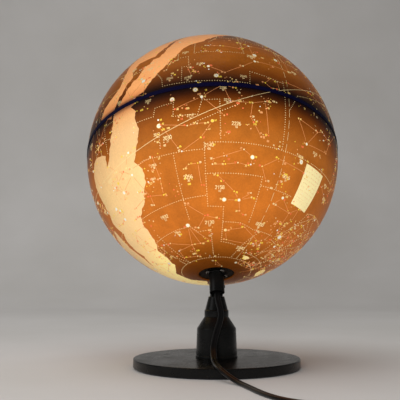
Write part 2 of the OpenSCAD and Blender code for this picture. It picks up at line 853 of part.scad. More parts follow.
// Rocker with its pivot pins, drawn with its right-hand end pressed: the lamp is on
module switch_rocker() {
    half = rocker_l / 2;
    taper = 0.4;
    dish = 0.6;
    top = rocker_axis_drop + 0.8;
    foot = [2.2, -1.6];
    color("dimgray") at_switch() translate([0, 0, rocker_axis_z]) rotate([90, rocker_swing, 0]) {
        linear_extrude(rocker_w, center = true) polygon([
            [-half, top], [0, top - dish], [half, top], [half - taper, taper],
            foot, [-foot[0], foot[1]], [-half + taper, taper]
        ]);
        cylinder(d = rocker_pivot_d, h = 2 * (ear_y + ear_wall), center = true);
    }
}

module switch_contact(i) {
    top = rocker_axis_z - 4;
    color("goldenrod") at_switch() translate([side_of(i) * rocker_l * 0.4, 0, (switch_wall + top) / 2])
        cube([3, 5, top - switch_wall], center = true);
}

module switch_screw(i) {
    head_h = 1.4;
    low = switch_screw_z - head_h;
    color("silver") at_switch() at_switch_screw(i) {
        translate([0, 0, low]) cylinder(d = switch_screw_head_d, h = head_h, $fn = 32);
        translate([0, 0, low])
            cylinder(d = switch_screw_d, h = switch_split + switch_thread_l - 0.5 - low, $fn = 32);
    }
}

// Plug

module at_plug() {
    translate([plug_mouth[0], plug_mouth[1], plug_axis_z]) rotate([0, 0, 180]) children();
}

// Body of the plug: it widens from the cord towards the pins
module plug_body() {
    tail_w = 16;
    waist = 17;
    sleeve_d = [7.4, 10];
    body_x = plug_sleeve_l;
    front_x = body_x + plug_l;
    color("black") at_plug() {
        rotate([0, 90, 0]) cylinder(d1 = sleeve_d[0], d2 = sleeve_d[1], h = plug_sleeve_l);
        translate([0, 0, -plug_t / 2]) linear_extrude(plug_t) polygon([
            [body_x, -tail_w / 2], [body_x + waist, -plug_w / 2], [front_x, -plug_w / 2],
            [front_x, plug_w / 2], [body_x + waist, plug_w / 2], [body_x, tail_w / 2]
        ]);
    }
}

module plug_pin(i) {
    color("silver") at_plug() translate([plug_sleeve_l + plug_l, side_of(i) * pin_space / 2, 0])
        rotate([0, 90, 0]) cylinder(d = pin_d, h = pin_l);
}

base_disc();
base_pad();
column_body();
column_neck();
column_stud();
stud_washer();
stud_nut();
neck_tube();
neck_grub_screw();
cable_grommet();
spindle();
friction_washer();
thrust_washer();
spring_washer();
lower_hemisphere();
upper_hemisphere();
joint_ring();
seam_tape();
pole_flange();
hub_ring();
hub_bush();
holder_cap();
holder_body();
holder_insert();
centre_contact();
bulb_cap();
bulb_contact();
bulb_body();
bulb_diffuser();
internal_lead();
cord_lead();
cord_tail();
cord_end();
cord_coil();
coil_tie();
switch_base();
switch_cover();
switch_rocker();
plug_body();
for (i = [1 : screw_count]) flange_screw(i);
for (i = PAIR) spindle_nut(i);
for (i = PAIR) terminal(i);
for (i = PAIR) terminal_screw(i);
for (i = PAIR) lead_wire(i);
for (i = PAIR) switch_contact(i);
for (i = PAIR) switch_screw(i);
for (i = PAIR) plug_pin(i);
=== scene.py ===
"""Looks, camera and lights of an illuminated celestial globe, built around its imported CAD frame."""
import json
import math
import random

import bmesh
import bpy
from mathutils import Matrix, Vector


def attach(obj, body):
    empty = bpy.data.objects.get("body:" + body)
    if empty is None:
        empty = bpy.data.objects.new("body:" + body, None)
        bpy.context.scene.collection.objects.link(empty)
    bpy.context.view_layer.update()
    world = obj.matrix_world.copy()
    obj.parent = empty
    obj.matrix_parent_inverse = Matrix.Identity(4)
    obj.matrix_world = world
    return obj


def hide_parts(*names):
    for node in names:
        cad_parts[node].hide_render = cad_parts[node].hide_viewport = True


MM = 0.001
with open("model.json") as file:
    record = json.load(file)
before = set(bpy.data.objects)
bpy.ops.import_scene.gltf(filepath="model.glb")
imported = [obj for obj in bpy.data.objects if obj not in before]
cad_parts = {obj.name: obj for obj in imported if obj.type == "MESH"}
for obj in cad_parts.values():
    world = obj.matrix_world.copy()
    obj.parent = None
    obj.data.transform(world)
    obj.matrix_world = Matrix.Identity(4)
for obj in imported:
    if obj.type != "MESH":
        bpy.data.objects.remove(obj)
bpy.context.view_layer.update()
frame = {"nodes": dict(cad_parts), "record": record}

# Main sizes of the part, in millimetres, as part.scad has them
GLOBE_R = 125.0
SHELL_WALL = 1.5
AXIS_TILT = math.radians(23.5)
NECK_END = Vector((0, -8, 68.1))
NECK_REACH = 17.1
FLANGE_SINK = 2.2
FLANGE_R = 16.6
FLANGE_IN = 4.2
SEAT_R = 16.8
SEAT_IN = 5.7
SPIGOT_R = 12.4
TAPE_W = 4.0
BASE_R = 76.5
BASE_TOP = 9.0
BORE_R = 4.2
CORD_W = 5.6
CORD_T = 2.8
SWITCH_MID = Vector((31, -334, 0))
SWITCH_L = 62.0
SWITCH_W = 22.0
SWITCH_H = 13.0
CORD_GRIP = 8.0
PLUG_MOUTH = Vector((-56, -306, 6.85))
COIL_MID = Vector((8, -272, 0))
COIL_R = 34.6
COIL_PITCH = 2.9
COIL_TURNS = 5.75
COIL_LOW_Z = 3.3
COIL_HIGH_Z = 9.1

AXIS = Vector((0, math.sin(AXIS_TILT), math.cos(AXIS_TILT)))
# Right ascension that faces the front, and the paper's radius, which leaves room for the prints
FRONT_ASCENSION = 331.25
PAPER_R = GLOBE_R - 0.09
SOUTH_POLE = NECK_END + AXIS * NECK_REACH
GLOBE_MID = SOUTH_POLE + AXIS * GLOBE_R
ON_AXIS = Matrix.Translation(SOUTH_POLE) @ Matrix.Rotation(-AXIS_TILT, 4, "X")
ON_BASE = Matrix.Translation((0, 0, BASE_TOP))
UPRIGHT = Matrix.Identity(4)


def colour(red, green, blue):
    """A colour given as it is seen, from 0 to 255, turned into the linear values that Blender takes."""
    out = []
    for part in (red, green, blue):
        part /= 255
        out.append(part / 12.92 if part <= 0.04045 else ((part + 0.055) / 1.055) ** 2.4)
    return (*out, 1.0)


def dimmed(tone, share):
    return (*[share * part for part in tone[:3]], 1.0)


# Materials


class Look:
    """One material with a Principled shader, and short ways to add the nodes that drive it."""

    def __init__(self, name, base=(0.5, 0.5, 0.5, 1), rough=0.5, specular=0.5, metal=0.0):
        self.mat = bpy.data.materials.new(name)
        self.mat.use_nodes = True
        self.tree = self.mat.node_tree
        self.shader = self.tree.nodes["Principled BSDF"]
        self.skin("Base Color", base)
        self.skin("Roughness", rough)
        self.skin("Specular IOR Level", specular)
        self.skin("Metallic", metal)
        self.place = self.node("ShaderNodeTexCoord", {}).outputs["Object"]

    def set(self, node, socket, value):
        """Links an output to a socket, or writes a plain value on it."""
        target = node.inputs[socket]
        if isinstance(value, bpy.types.NodeSocket):
            self.tree.links.new(value, target)
        else:
            target.default_value = value

    def skin(self, socket, value):
        self.set(self.shader, socket, value)

    def node(self, kind, inputs, **settings):
        made = self.tree.nodes.new(kind)
        for key, value in settings.items():
            setattr(made, key, value)
        for socket, value in inputs.items():
            self.set(made, socket, value)
        return made

    def noise(self, scale, detail, rough=0.55):
        inputs = {"Vector": self.place, "Scale": scale, "Detail": detail, "Roughness": rough}
        return self.node("ShaderNodeTexNoise", inputs).outputs["Fac"]

    def ramp(self, fac, stops):
        made = self.node("ShaderNodeValToRGB", {"Fac": fac})
        points = made.color_ramp.elements
        while len(points) < len(stops):
            points.new(0.5)
        for point, (where, value) in zip(points, stops):
            point.position = where
            point.color = value
        return made.outputs["Color"]

    def grey(self, fac, low, high, start=0.3, end=0.7):
        """A plain number that goes from low to high as fac goes from start to end."""
        inputs = {"Value": fac, "From Min": start, "From Max": end, "To Min": low, "To Max": high}
        return self.node("ShaderNodeMapRange", inputs).outputs["Result"]

    def math(self, what, a, b=0.0):
        return self.node("ShaderNodeMath", {0: a, 1: b}, operation=what).outputs["Value"]

    def mix(self, fac, a, b):
        return self.node("ShaderNodeMix", {0: fac, 6: a, 7: b}, data_type="RGBA").outputs[2]

    def vector(self, what, inputs):
        made = self.node("ShaderNodeVectorMath", inputs, operation=what)
        return made.outputs["Value" if what == "DOT_PRODUCT" else "Vector"]

    def bump(self, height, strength, distance=0.0001):
        inputs = {"Height": height, "Strength": strength, "Distance": distance}
        self.skin("Normal", self.node("ShaderNodeBump", inputs).outputs["Normal"])


def declination(look):
    """The height over the globe's equator in degrees, at every point of a piece of the globe."""
    from_middle = look.vector("SUBTRACT", {0: look.place, 1: GLOBE_MID * MM})
    outward = look.vector("NORMALIZE", {0: from_middle})
    rise = look.vector("DOT_PRODUCT", {0: outward, 1: AXIS})
    return look.math("MULTIPLY", look.math("ARCSINE", rise), math.degrees(1))


def black_enamel():
    look = Look("black_enamel", rough=0.28, specular=0.2)
    wear = look.noise(60, 5)
    look.skin("Base Color", look.ramp(wear, [(0.35, colour(9, 9, 9)), (0.7, colour(14, 14, 13))]))
    look.skin("Roughness", look.grey(wear, 0.22, 0.33))
    look.bump(look.noise(900, 2), 0.12)
    return look.mat


def satin_flange():
    look = Look("flange_black", rough=0.38, specular=0.2)
    fine = look.noise(1500, 3)
    look.skin("Base Color", look.ramp(fine, [(0.3, colour(7, 6, 6)), (0.7, colour(12, 11, 11))]))
    look.bump(fine, 0.1)
    return look.mat


def felt():
    look = Look("felt", rough=0.95, specular=0.1)
    hair = look.noise(2500, 5, 0.7)
    look.skin("Base Color", look.ramp(hair, [(0.3, colour(18, 18, 20)), (0.7, colour(44, 43, 46))]))
    look.skin("Sheen Weight", 0.3)
    look.bump(hair, 0.6, 0.0003)
    return look.mat


def metal(name, seen, rough):
    tone = colour(*seen)
    look = Look(name, base=tone, rough=rough, metal=1.0)
    grain = look.noise(700, 4)
    look.skin("Base Color", look.mix(grain, tone, dimmed(tone, 0.8)))
    look.skin("Roughness", look.grey(grain, rough * 0.8, rough * 1.4))
    look.bump(grain, 0.05)
    return look.mat


def plastic(name, seen, rough=0.45, specular=0.4, grain_scale=1200, grain=0.12):
    tone = colour(*seen)
    look = Look(name, base=tone, rough=rough, specular=specular)
    broad = look.noise(50, 3)
    look.skin("Base Color", look.mix(broad, dimmed(tone, 0.82), tone))
    look.skin("Roughness", look.grey(broad, rough * 0.9, min(1.0, rough * 1.15)))
    look.bump(look.noise(grain_scale, 3), grain)
    return look.mat


# Printed paper on the globe, with the lamp's light and shade painted into its colour: (height over
# the equator, colour). The tones are brightest well south of the equator and dimmer towards both poles.
# There is painted shade near the south pole, where the lamp holder stands in the light, and a dark band
# of painted shade along the equator, where the joint ring inside keeps the light off. The legend's
# tones are the same at both heights, a painted glow only.
GROUND_TONES_WITH_PAINTED_LIGHT = [
    (-90, (84, 42, 10)), (-78, (118, 60, 12)), (-74, (142, 74, 14)), (-68, (180, 97, 23)),
    (-64, (200, 110, 33)), (-60, (216, 119, 37)), (-48, (216, 120, 38)), (-30, (207, 116, 36)),
    (-20, (192, 109, 35)), (-14, (168, 90, 22)), (-8, (126, 62, 7)), (-5.5, (91, 41, 4)),
    (-3.5, (58, 23, 3)), (-2, (34, 13, 4)), (-1, (16, 6, 5)), (1, (16, 7, 6)), (2.2, (38, 16, 6)),
    (4.2, (70, 33, 8)), (6.5, (98, 48, 7)), (9, (117, 58, 8)), (14, (148, 80, 14)),
    (22, (158, 86, 18)), (32, (152, 84, 32)), (40, (126, 84, 52)), (50, (100, 72, 48)),
    (90, (84, 62, 44)),
]
MILKY_TONES_WITH_PAINTED_LIGHT = [
    (-90, (300, 230, 150)), (-75, (336, 284, 188)), (-65, (324, 272, 179)), (-59, (297, 246, 167)),
    (-52, (278, 231, 162)), (-42, (271, 225, 158)), (-31, (265, 219, 150)), (-12, (257, 203, 140)),
    (-6, (250, 186, 120)), (-3, (222, 150, 92)), (-1.5, (140, 90, 56)), (1.5, (130, 80, 50)),
    (3, (226, 144, 84)), (7, (250, 172, 104)), (30, (250, 170, 104)), (45, (246, 172, 116)),
    (90, (220, 160, 112)),
]
LEGEND_TONES_WITH_PAINTED_GLOW = [(-50, (290, 268, 198)), (-20, (290, 266, 194))]
INK_TONES = {
    "white": (255, 248, 228), "cream": (255, 222, 158), "rim": (255, 212, 124),
    "line": (255, 178, 112), "figure": (246, 160, 96), "yellow": (255, 216, 76),
    "red": (255, 124, 76), "cyan": (226, 236, 208), "tan": (222, 176, 108),
    "rose": (242, 164, 118), "faint": (240, 214, 148),
}
# Strength of the lamp's light painted into the inks' colour and glow, and the heights over the equator
# where it holds. The weaker strengths are painted shade along the equator, where the joint ring inside
# keeps the light off, and towards both poles.
PAINTED_LIGHT_STRENGTHS = {"full": 1.1, "half": 0.75, "low": 0.5}
PAINTED_LIGHT_RANGES = {
    "full": [(-77, -8)], "half": [(-91, -77), (-8, -4.5), (7, 42)], "low": [(-4.5, 7), (42, 91)],
}
# Shares of a print's seen colour that go into its base colour and into its painted glow; the glow stands
# in for the lamp's light shining through the shell
REFLECTED = 0.56
PAINTED_GLOW_SHARE = 0.44
VARNISH_TINT = 0.76


def share_of(seen, share):
    """Part of a seen colour, made up for what the varnish over it takes away."""
    return (*[min(1.0, part * share / VARNISH_TINT) for part in colour(*seen)[:3]], 1.0)


def varnish(look):
    """Clear coat of a print, and full strength for its painted glow, which stands in for the lamp's light
    shining through from inside.
    """
    look.skin("Emission Strength", 1.0)
    look.skin("Coat Weight", 1.0)
    look.skin("Coat Roughness", 0.3)
    look.skin("Coat IOR", 1.08)
    look.skin("Coat Tint", (VARNISH_TINT, VARNISH_TINT, VARNISH_TINT, 1.0))


def printed(name, tones, mottle, scale):
    """Mottled print with the lamp's light and shade painted in: the tones, which go by the height over the
    equator, give both the base colour and a painted glow that stands in for the lamp shining through.
    """
    look = Look(name, rough=0.5, specular=0.2)
    height = look.math("DIVIDE", look.math("ADD", declination(look), 90.0), 180.0)
    patches = look.grey(look.noise(scale, 6, 0.62), 1 - mottle, 1 + mottle, 0.25, 0.75)
    clouded = look.grey(look.noise(22, 2, 0.5), 1 - mottle, 1 + mottle)
    specks = look.grey(look.noise(620, 4, 0.6), 0.92, 1.08, 0.25, 0.75)
    amount = look.math("MULTIPLY", look.math("MULTIPLY", patches, specks), clouded)
    # Base colour and glow both take the painted lamp light and shade of the tones
    for socket, share in (("Base Color", REFLECTED), ("Emission Color", PAINTED_GLOW_SHARE)):
        stops = [((rise + 90) / 180, share_of(seen, share)) for rise, seen in tones]
        look.skin(socket, look.vector("SCALE", {0: look.ramp(height, stops), "Scale": amount}))
    varnish(look)
    look.bump(look.noise(260, 3), 0.05)
    return look.mat


def ink_look(tone, light):
    """One ink of the small print, with the lamp's light painted into its base colour and glow at one
    strength.
    """
    seen = INK_TONES[tone]
    base = share_of(seen, REFLECTED * PAINTED_LIGHT_STRENGTHS[light])
    look = Look(f"ink_{tone}_{light}", base=base, rough=0.5, specular=0.2)
    look.skin("Emission Color", share_of(seen, PAINTED_GLOW_SHARE * PAINTED_LIGHT_STRENGTHS[light]))
    varnish(look)
    return look.mat


# One material for each slot of the record
MATERIALS = {
    "black_enamel": black_enamel(),
    "felt": felt(),
    "flange_black": satin_flange(),
    "nickel": metal("nickel", (150, 147, 142), 0.2),
    "brass": metal("brass", (206, 168, 92), 0.32),
    "globe_shell": printed("print_ground_painted_light", GROUND_TONES_WITH_PAINTED_LIGHT, 0.13, 95),
}
# Colour, and where it isn't the usual one, roughness, specular level, and scale and depth of the grain
PLASTICS = {
    "joint_ring": [(70, 68, 66)],
    "tape_navy": [(7, 5, 34), 0.55, 0.1, 400, 0.2],
    "hub_plastic": [(225, 222, 214)],
    "holder_black": [(34, 33, 33)],
    "holder_insert": [(214, 208, 196)],
    "bulb_white": [(240, 238, 230), 0.35],
    "cord_black": [(10, 9, 9), 0.3, 0.3, 900, 0.08],
    "copper_core": [(120, 62, 32)],
    "grommet": [(26, 25, 25), 0.7, 0.3],
    "tie_black": [(30, 30, 30), 0.55],
    "switch_black": [(22, 22, 22), 0.4, 0.45, 1500, 0.2],
    "rocker_black": [(32, 32, 33), 0.34, 0.5, 1500, 0.1],
    "plug_black": [(24, 24, 24), 0.48, 0.4, 1500, 0.25],
}
for name, settings in PLASTICS.items():
    MATERIALS[name] = plastic(name, *settings)
MILKY_WAY_WITH_PAINTED_LIGHT = printed("print_milky_way_painted_light", MILKY_TONES_WITH_PAINTED_LIGHT, 0.05, 60)
LEGEND_PANEL_WITH_PAINTED_GLOW = printed("print_legend_painted_glow", LEGEND_TONES_WITH_PAINTED_GLOW, 0.03, 120)


# Mesh helpers

ARC_STEP = math.radians(15)
WELD = 1e-7


def rounded(corners):
    """Closed line through corners (r, z, rounding) with an arc at each corner that asks for one."""
    out = []
    count = len(corners)
    for i, (r, z, bend) in enumerate(corners):
        here = Vector((r, z))
        before = Vector(corners[i - 1][:2])
        after = Vector(corners[(i + 1) % count][:2])
        if bend <= 0:
            out.append(here)
            continue
        back = (before - here).normalized()
        ahead = (after - here).normalized()
        half = back.angle(ahead) / 2
        run = bend / math.tan(half)
        middle = here + (back + ahead).normalized() * (bend / math.sin(half))
        first = here + back * run - middle
        last = here + ahead * run - middle
        sweep = first.angle_signed(last)
        steps = max(2, math.ceil(abs(sweep) / ARC_STEP))
        for k in range(steps + 1):
            out.append(middle + Matrix.Rotation(-sweep * k / steps, 2) @ first)
    return out


def mesh_of(name, points, faces, place, weld):
    """Mesh of points in millimetres, with its faces turned outwards."""
    mesh = bpy.data.meshes.new(name)
    mesh.from_pydata([(place @ Vector(p)) * MM for p in points], [], faces)
    work = bmesh.new()
    work.from_mesh(mesh)
    if weld:
        bmesh.ops.remove_doubles(work, verts=work.verts, dist=WELD)
    bmesh.ops.recalc_face_normals(work, faces=work.faces)
    work.to_mesh(mesh)
    work.free()
    return mesh


def smooth(mesh, sharp):
    """Smooth shading, but not over edges that bend more than sharp degrees."""
    mesh.polygons.foreach_set("use_smooth", [True] * len(mesh.polygons))
    mesh.set_sharp_from_angle(angle=math.radians(sharp))


def put(name, data):
    """New object in the scene."""
    piece = bpy.data.objects.new(name, data)
    bpy.context.scene.collection.objects.link(piece)
    return piece


def make(
    name, points, faces, body, slot, hides=(), place=UPRIGHT, sharp=35.0, material=None, weld=True
):
    """Builds one piece from points in millimetres, hangs it on its body, and hides the CAD nodes that it
    takes the place of.
    """
    mesh = mesh_of(name, points, faces, place, weld)
    smooth(mesh, sharp)
    mesh.materials.append(material or MATERIALS[slot])
    piece = put(name, mesh)
    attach(piece, body)
    if hides:
        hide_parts(*hides)
    return piece


def lathe(name, line, body, slot, hides=(), place=UPRIGHT, steps=128, sharp=35.0):
    """Turns a closed line of (r, z) points about the z axis."""
    rows = len(line)
    points = []
    faces = []
    for k in range(steps):
        turn = 2 * math.pi * k / steps
        points += [(r * math.cos(turn), r * math.sin(turn), z) for r, z in line]
        a = k * rows
        b = (k + 1) % steps * rows
        for i in range(rows):
            j = (i + 1) % rows
            faces.append((a + i, b + i, b + j, a + j))
    return make(name, points, faces, body, slot, hides, place, sharp)


def band(a, b, size):
    """Faces between two closed rings of points that start at a and b."""
    faces = []
    for k in range(size):
        j = (k + 1) % size
        faces.append((a + k, a + j, b + j, b + k))
    return faces


def shrunk(outline, inset):
    """A closed outline of (x, y) points, running anticlockwise, moved inwards by inset."""
    out = []
    count = len(outline)
    least_spread = 0.3
    for i, here in enumerate(outline):
        back = (Vector(here) - Vector(outline[i - 1])).normalized()
        ahead = (Vector(outline[(i + 1) % count]) - Vector(here)).normalized()
        along = (back + ahead).normalized()
        spread = max(least_spread, along.dot(ahead))
        out.append((here[0] - along.y * inset / spread, here[1] + along.x * inset / spread))
    return out


def stacked(name, rings, body, slot, hides, place, sharp=35.0):
    """Skin over rings that all have the same number of points, closed with a cap at each end."""
    points = [p for ring in rings for p in ring]
    size = len(rings[0])
    last = (len(rings) - 1) * size
    faces = []
    for start in range(0, last, size):
        faces += band(start, start + size, size)
    faces.append(tuple(reversed(range(size))))
    faces.append(tuple(range(last, last + size)))
    return make(name, points, faces, body, slot, hides, place, sharp)


def slab(name, outline, levels, body, slot, hides, place):
    """Stacks one outline at (height, inset) levels, so that its edges can be rounded."""
    rings = [[(x, y, z) for x, y in shrunk(outline, inset)] for z, inset in levels]
    return stacked(name, rings, body, slot, hides, place)


def round_levels(low, high, low_bend, high_bend, steps=5):
    """Levels for slab() that round both edges of a wall from low to high."""
    turns = [math.pi / 2 * k / steps for k in range(steps + 1)]
    foot = [(low + low_bend * (1 - math.sin(t)), low_bend * (1 - math.cos(t))) for t in turns]
    head = [(high - high_bend * (1 - math.sin(t)), high_bend * (1 - math.cos(t))) for t in turns]
    return foot[::-1] + head


def cut(piece, low, high, place):
    """Cuts a box out of a piece, given by its lowest and highest corner in millimetres."""
    points = [(x, y, z) for x in (low[0], high[0]) for y in (low[1], high[1]) for z in (low[2], high[2])]
    faces = [(0, 1, 3, 2), (4, 6, 7, 5), (0, 4, 5, 1), (2, 3, 7, 6), (0, 2, 6, 4), (1, 5, 7, 3)]
    cutter = put("cutter", mesh_of("cutter", points, faces, place, weld=False))
    modifier = piece.modifiers.new("cut", "BOOLEAN")
    modifier.operation = "DIFFERENCE"
    modifier.solver = "EXACT"
    modifier.object = cutter
    bpy.context.view_layer.update()
    done = bpy.data.meshes.new_from_object(piece.evaluated_get(bpy.context.evaluated_depsgraph_get()))
    piece.modifiers.remove(modifier)
    old = piece.data
    piece.data = done
    done.name = old.name
    bpy.data.meshes.remove(old)
    bpy.data.objects.remove(cutter)
    smooth(done, 30)


def tunnel(name, outer, inner, low, high, edge, body, slot, hides, place):
    """Loop between two outlines with the same number of points, from low to high, with rounded rims."""
    size = len(outer)
    rings = []
    for outline, way in ((outer, 1), (inner, -1)):
        for z, inset in ((low, edge), (low + edge, 0), (high - edge, 0), (high, edge))[::way]:
            rings.append([(x, y, z) for x, y in shrunk(outline, inset * way)])
    faces = []
    for i in range(len(rings)):
        faces += band(i * size, (i + 1) % len(rings) * size, size)
    return make(name, [p for ring in rings for p in ring], faces, body, slot, hides, place)


# Cords

STEP = 1.6


def smooth_route(stops, first, last):
    """Points and twists along one smooth curve through the stops, about STEP millimetres apart."""
    spots = [Vector(s[:3]) for s in stops]
    twists = [s[3] for s in stops]
    count = len(spots)
    tangents = [Vector(first)]
    for i in range(1, count - 1):
        tangents.append((spots[i + 1] - spots[i - 1]).normalized())
    tangents.append(Vector(last))
    line = []
    for i in range(count - 1):
        span = (spots[i + 1] - spots[i]).length
        parts = max(1, round(span / STEP))
        for k in range(parts + (i == count - 2)):
            t = k / parts
            t2, t3 = t * t, t * t * t
            spot = (
                spots[i] * (2 * t3 - 3 * t2 + 1)
                + tangents[i] * span * (t3 - 2 * t2 + t)
                + spots[i + 1] * (3 * t2 - 2 * t3)
                + tangents[i + 1] * span * (t3 - t2)
            )
            spot.z = max(spot.z, CORD_T / 2)
            line.append((spot, twists[i] + (twists[i + 1] - twists[i]) * t))
    return line


def twin_outline():
    """Outline of the flat twin cord: two round cores and the web between them."""
    core = CORD_T / 2
    reach = (CORD_W - CORD_T) / 2
    wide = math.pi - math.asin(0.7)
    out = []
    for side in (1, -1):
        for k in range(13):
            turn = -wide + 2 * wide * k / 12
            out.append((side * (reach + core * math.cos(turn)), side * core * math.sin(turn)))
    return out


def twin_cord(name, line, side, hides):
    """Skin of the flat cord along a line of (point, twist)."""
    outline = twin_outline()
    spots = [spot for spot, twist in line]
    points = []
    flat = Vector(side)
    for i, (spot, twist) in enumerate(line):
        ahead = spots[min(i + 1, len(spots) - 1)] - spots[max(i - 1, 0)]
        ahead.normalize()
        flat = (flat - ahead * flat.dot(ahead)).normalized()
        up = ahead.cross(flat)
        turn = math.radians(twist)
        wide = flat * math.cos(turn) + up * math.sin(turn)
        thin = up * math.cos(turn) - flat * math.sin(turn)
        points += [spot + wide * x + thin * y for x, y in outline]
    size = len(outline)
    last = (len(line) - 1) * size
    faces = []
    for start in range(0, last, size):
        faces += band(start, start + size, size)
    faces.append(tuple(range(size)))
    faces.append(tuple(reversed(range(last, last + size))))
    return make(name, points, faces, "stand", "cord_black", hides, sharp=60), spots


# The same stops as in part.scad: x, y and z. The lead isn't twisted.
LEAD_ROUTE = [
    (0.4, -11, 61.6), (1.8, -13.7, 55.3), (2.5, -16.2, 49), (1.4, -18.5, 42.8), (-0.8, -20.6, 36.6),
    (-2.9, -22.7, 30.4), (-4.4, -25.1, 24.4), (-5.2, -28.8, 18.9), (-5.4, -33.9, 14.5),
    (-5.3, -40.2, 11.5), (-5.2, -47.1, 10.5), (-5.3, -58, 10.5), (-5.4, -68, 10.5),
    (-5.2, -75, 10.6), (-4.1, -81, 9.9), (-1.3, -87, 7.8), (2.9, -93, 5), (7.2, -99.4, 2.7),
    (10.8, -107, 1.6), (13.4, -116, 1.4), (16.3, -129, 1.4), (19.6, -143, 1.4), (23.6, -156, 1.4),
    (29, -168, 1.4), (37, -179, 1.4), (48, -188, 1.4), (60, -197, 1.4), (71, -208, 1.4),
    (80, -222, 1.4), (86, -238, 1.4), (90, -256, 1.4), (92, -274, 1.5), (92, -290, 2),
    (90.5, -304, 3.1), (86, -317, 4.6), (77, -328, 5.9), (66, -333.2, 6.5),
]
# Here the fourth number is the twist about the cord's own line, in degrees
TAIL_ROUTE = [
    (-4, -334, 6.4, 0), (-10.5, -331.8, 5.9, 10), (-17, -327, 4.9, 28), (-22, -320, 3.9, 48),
    (-25, -311, 3.3, 68), (-26.4, -300, 3.3, 85), (-26.6, -290, 3.3, 90),
]
END_ROUTE = [
    (-6, -306.6, 9.1, 90), (-18, -306.5, 9.1, 90), (-29, -306.4, 9, 80), (-40, -306.2, 8.2, 40),
    (-49, -306, 7.2, 10),
]


def coil_line():
    """The coil: inwards in the lower layer, up at its inner edge, and outwards in the upper one."""
    steps = round(COIL_TURNS * 144)
    middle = COIL_TURNS / 2
    climb_turns = 0.33
    climb_dip = 1.8
    line = []
    for k in range(steps + 1):
        t = COIL_TURNS * k / steps
        from_middle = (t - middle) / climb_turns
        dip = climb_dip * math.exp(-from_middle * from_middle)
        r = COIL_R - COIL_PITCH * min(t, COIL_TURNS - t) - dip
        rise = 0.5 + 0.5 * math.tanh(2.2 * from_middle)
        turn = math.radians(180 - 360 * t)
        z = COIL_LOW_Z + (COIL_HIGH_Z - COIL_LOW_Z) * rise
        line.append((COIL_MID + Vector((r * math.cos(turn), r * math.sin(turn), z)), 90))
    return line


switch_right = (SWITCH_MID.x + SWITCH_L / 2 - CORD_GRIP, SWITCH_MID.y, SWITCH_H / 2, 0)
switch_left = (SWITCH_MID.x - SWITCH_L / 2 + CORD_GRIP, SWITCH_MID.y, SWITCH_H / 2, 0)
coil_in = (COIL_MID.x - COIL_R, COIL_MID.y - 6, COIL_LOW_Z, 90)
coil_out = (COIL_MID.x - 6, COIL_MID.y - COIL_R, COIL_HIGH_Z, 90)
TO_LEFT = (-1, 0, 0)

lead_stops = [(*spot, 0) for spot in (NECK_END, *LEAD_ROUTE)] + [switch_right]
lead_line = smooth_route(lead_stops, -AXIS, TO_LEFT)
lead, lead_spots = twin_cord("lead_from_lamp", lead_line, (1, 0, 0), ["cord_lead"])

tail_line = smooth_route([switch_left, *TAIL_ROUTE, coil_in], TO_LEFT, (0, 1, 0))
end_line = smooth_route([coil_out, *END_ROUTE, (*PLUG_MOUTH, 0)], TO_LEFT, TO_LEFT)
plug_line = tail_line + coil_line() + end_line
plug_lead, plug_spots = twin_cord(
    "lead_to_plug", plug_line, (0, -1, 0), ["cord_tail", "cord_coil", "cord_end"]
)

# Stand, turned about its own middle or about the arm's tube: corners are (r, z, rounding)

for name, node, place, steps, corners in (
    ("base_plate", "base_disc", UPRIGHT, 192, [
        (BORE_R, 6, 0), (12, 6, 0), (12, 1, 0.3), (BASE_R, 1, 0.6), (BASE_R, BASE_TOP, 0.9),
        (BORE_R, BASE_TOP, 0),
    ]),
    ("turned_column", "column_body", ON_BASE, 128, [
        (BORE_R, 0, 0), (19.25, 0, 0.2), (19.25, 2.2, 0.5), (18.85, 2.6, 0), (18.85, 3.0, 0),
        (18, 26.6, 1.4), (11.2, 37, 0.4), (BORE_R, 37, 0),
    ]),
    ("column_collar", "column_neck", ON_BASE, 128, [
        (BORE_R, 37, 0), (11.2, 37, 0.3), (11.2, 42.8, 0.5), (10.4, 43.6, 0.3), (7.3, 55.6, 0.4),
        (BORE_R, 55.6, 0),
    ]),
    ("arm_tube", "neck_tube", ON_AXIS, 96, [
        (5.0, 2.1, 0), (6.95, 2.1, 0.3), (6.95, -NECK_REACH, 0.4), (5.8, -NECK_REACH, 0.3),
        (5.8, -NECK_REACH + 3.5, 0), (5.0, -NECK_REACH + 3.5, 0),
    ]),
):
    lathe(name, rounded(corners), "stand", "black_enamel", [node], place, steps)

# Globe


def arc(r, low, high, steps=64):
    """Points of a circle about the globe's middle, between two heights over the equator in degrees."""
    turns = [math.radians(low + (high - low) * k / steps) for k in range(steps + 1)]
    return [(r * math.cos(turn), GLOBE_R + r * math.sin(turn)) for turn in turns]


inner_r = GLOBE_R - SHELL_WALL
seat_edge = -math.degrees(math.acos(SEAT_R / PAPER_R))
inner_edge = -math.degrees(math.acos((SEAT_R + SHELL_WALL) / inner_r))
lower_line = (
    arc(PAPER_R, 0, seat_edge)
    + [(SEAT_R, FLANGE_IN), (SPIGOT_R + 0.2, FLANGE_IN), (SPIGOT_R + 0.2, SEAT_IN)]
    + [(SEAT_R + SHELL_WALL, SEAT_IN)]
    + arc(inner_r, inner_edge, 0)
)
upper_line = arc(PAPER_R, 0, 90) + arc(inner_r, 90, 0)
tape_half = math.degrees(math.asin(TAPE_W / 2 / GLOBE_R))
tape_line = (
    arc(GLOBE_R - 0.1, -tape_half, tape_half, 6) + arc(GLOBE_R + 0.35, tape_half, -tape_half, 6)
)
flange_line = rounded([
    (5.4, FLANGE_SINK, 0.3), (FLANGE_R, FLANGE_SINK, 0.6), (FLANGE_R, FLANGE_IN, 0),
    (SPIGOT_R, FLANGE_IN, 0), (SPIGOT_R, SEAT_IN, 0), (5.4, SEAT_IN, 0),
])
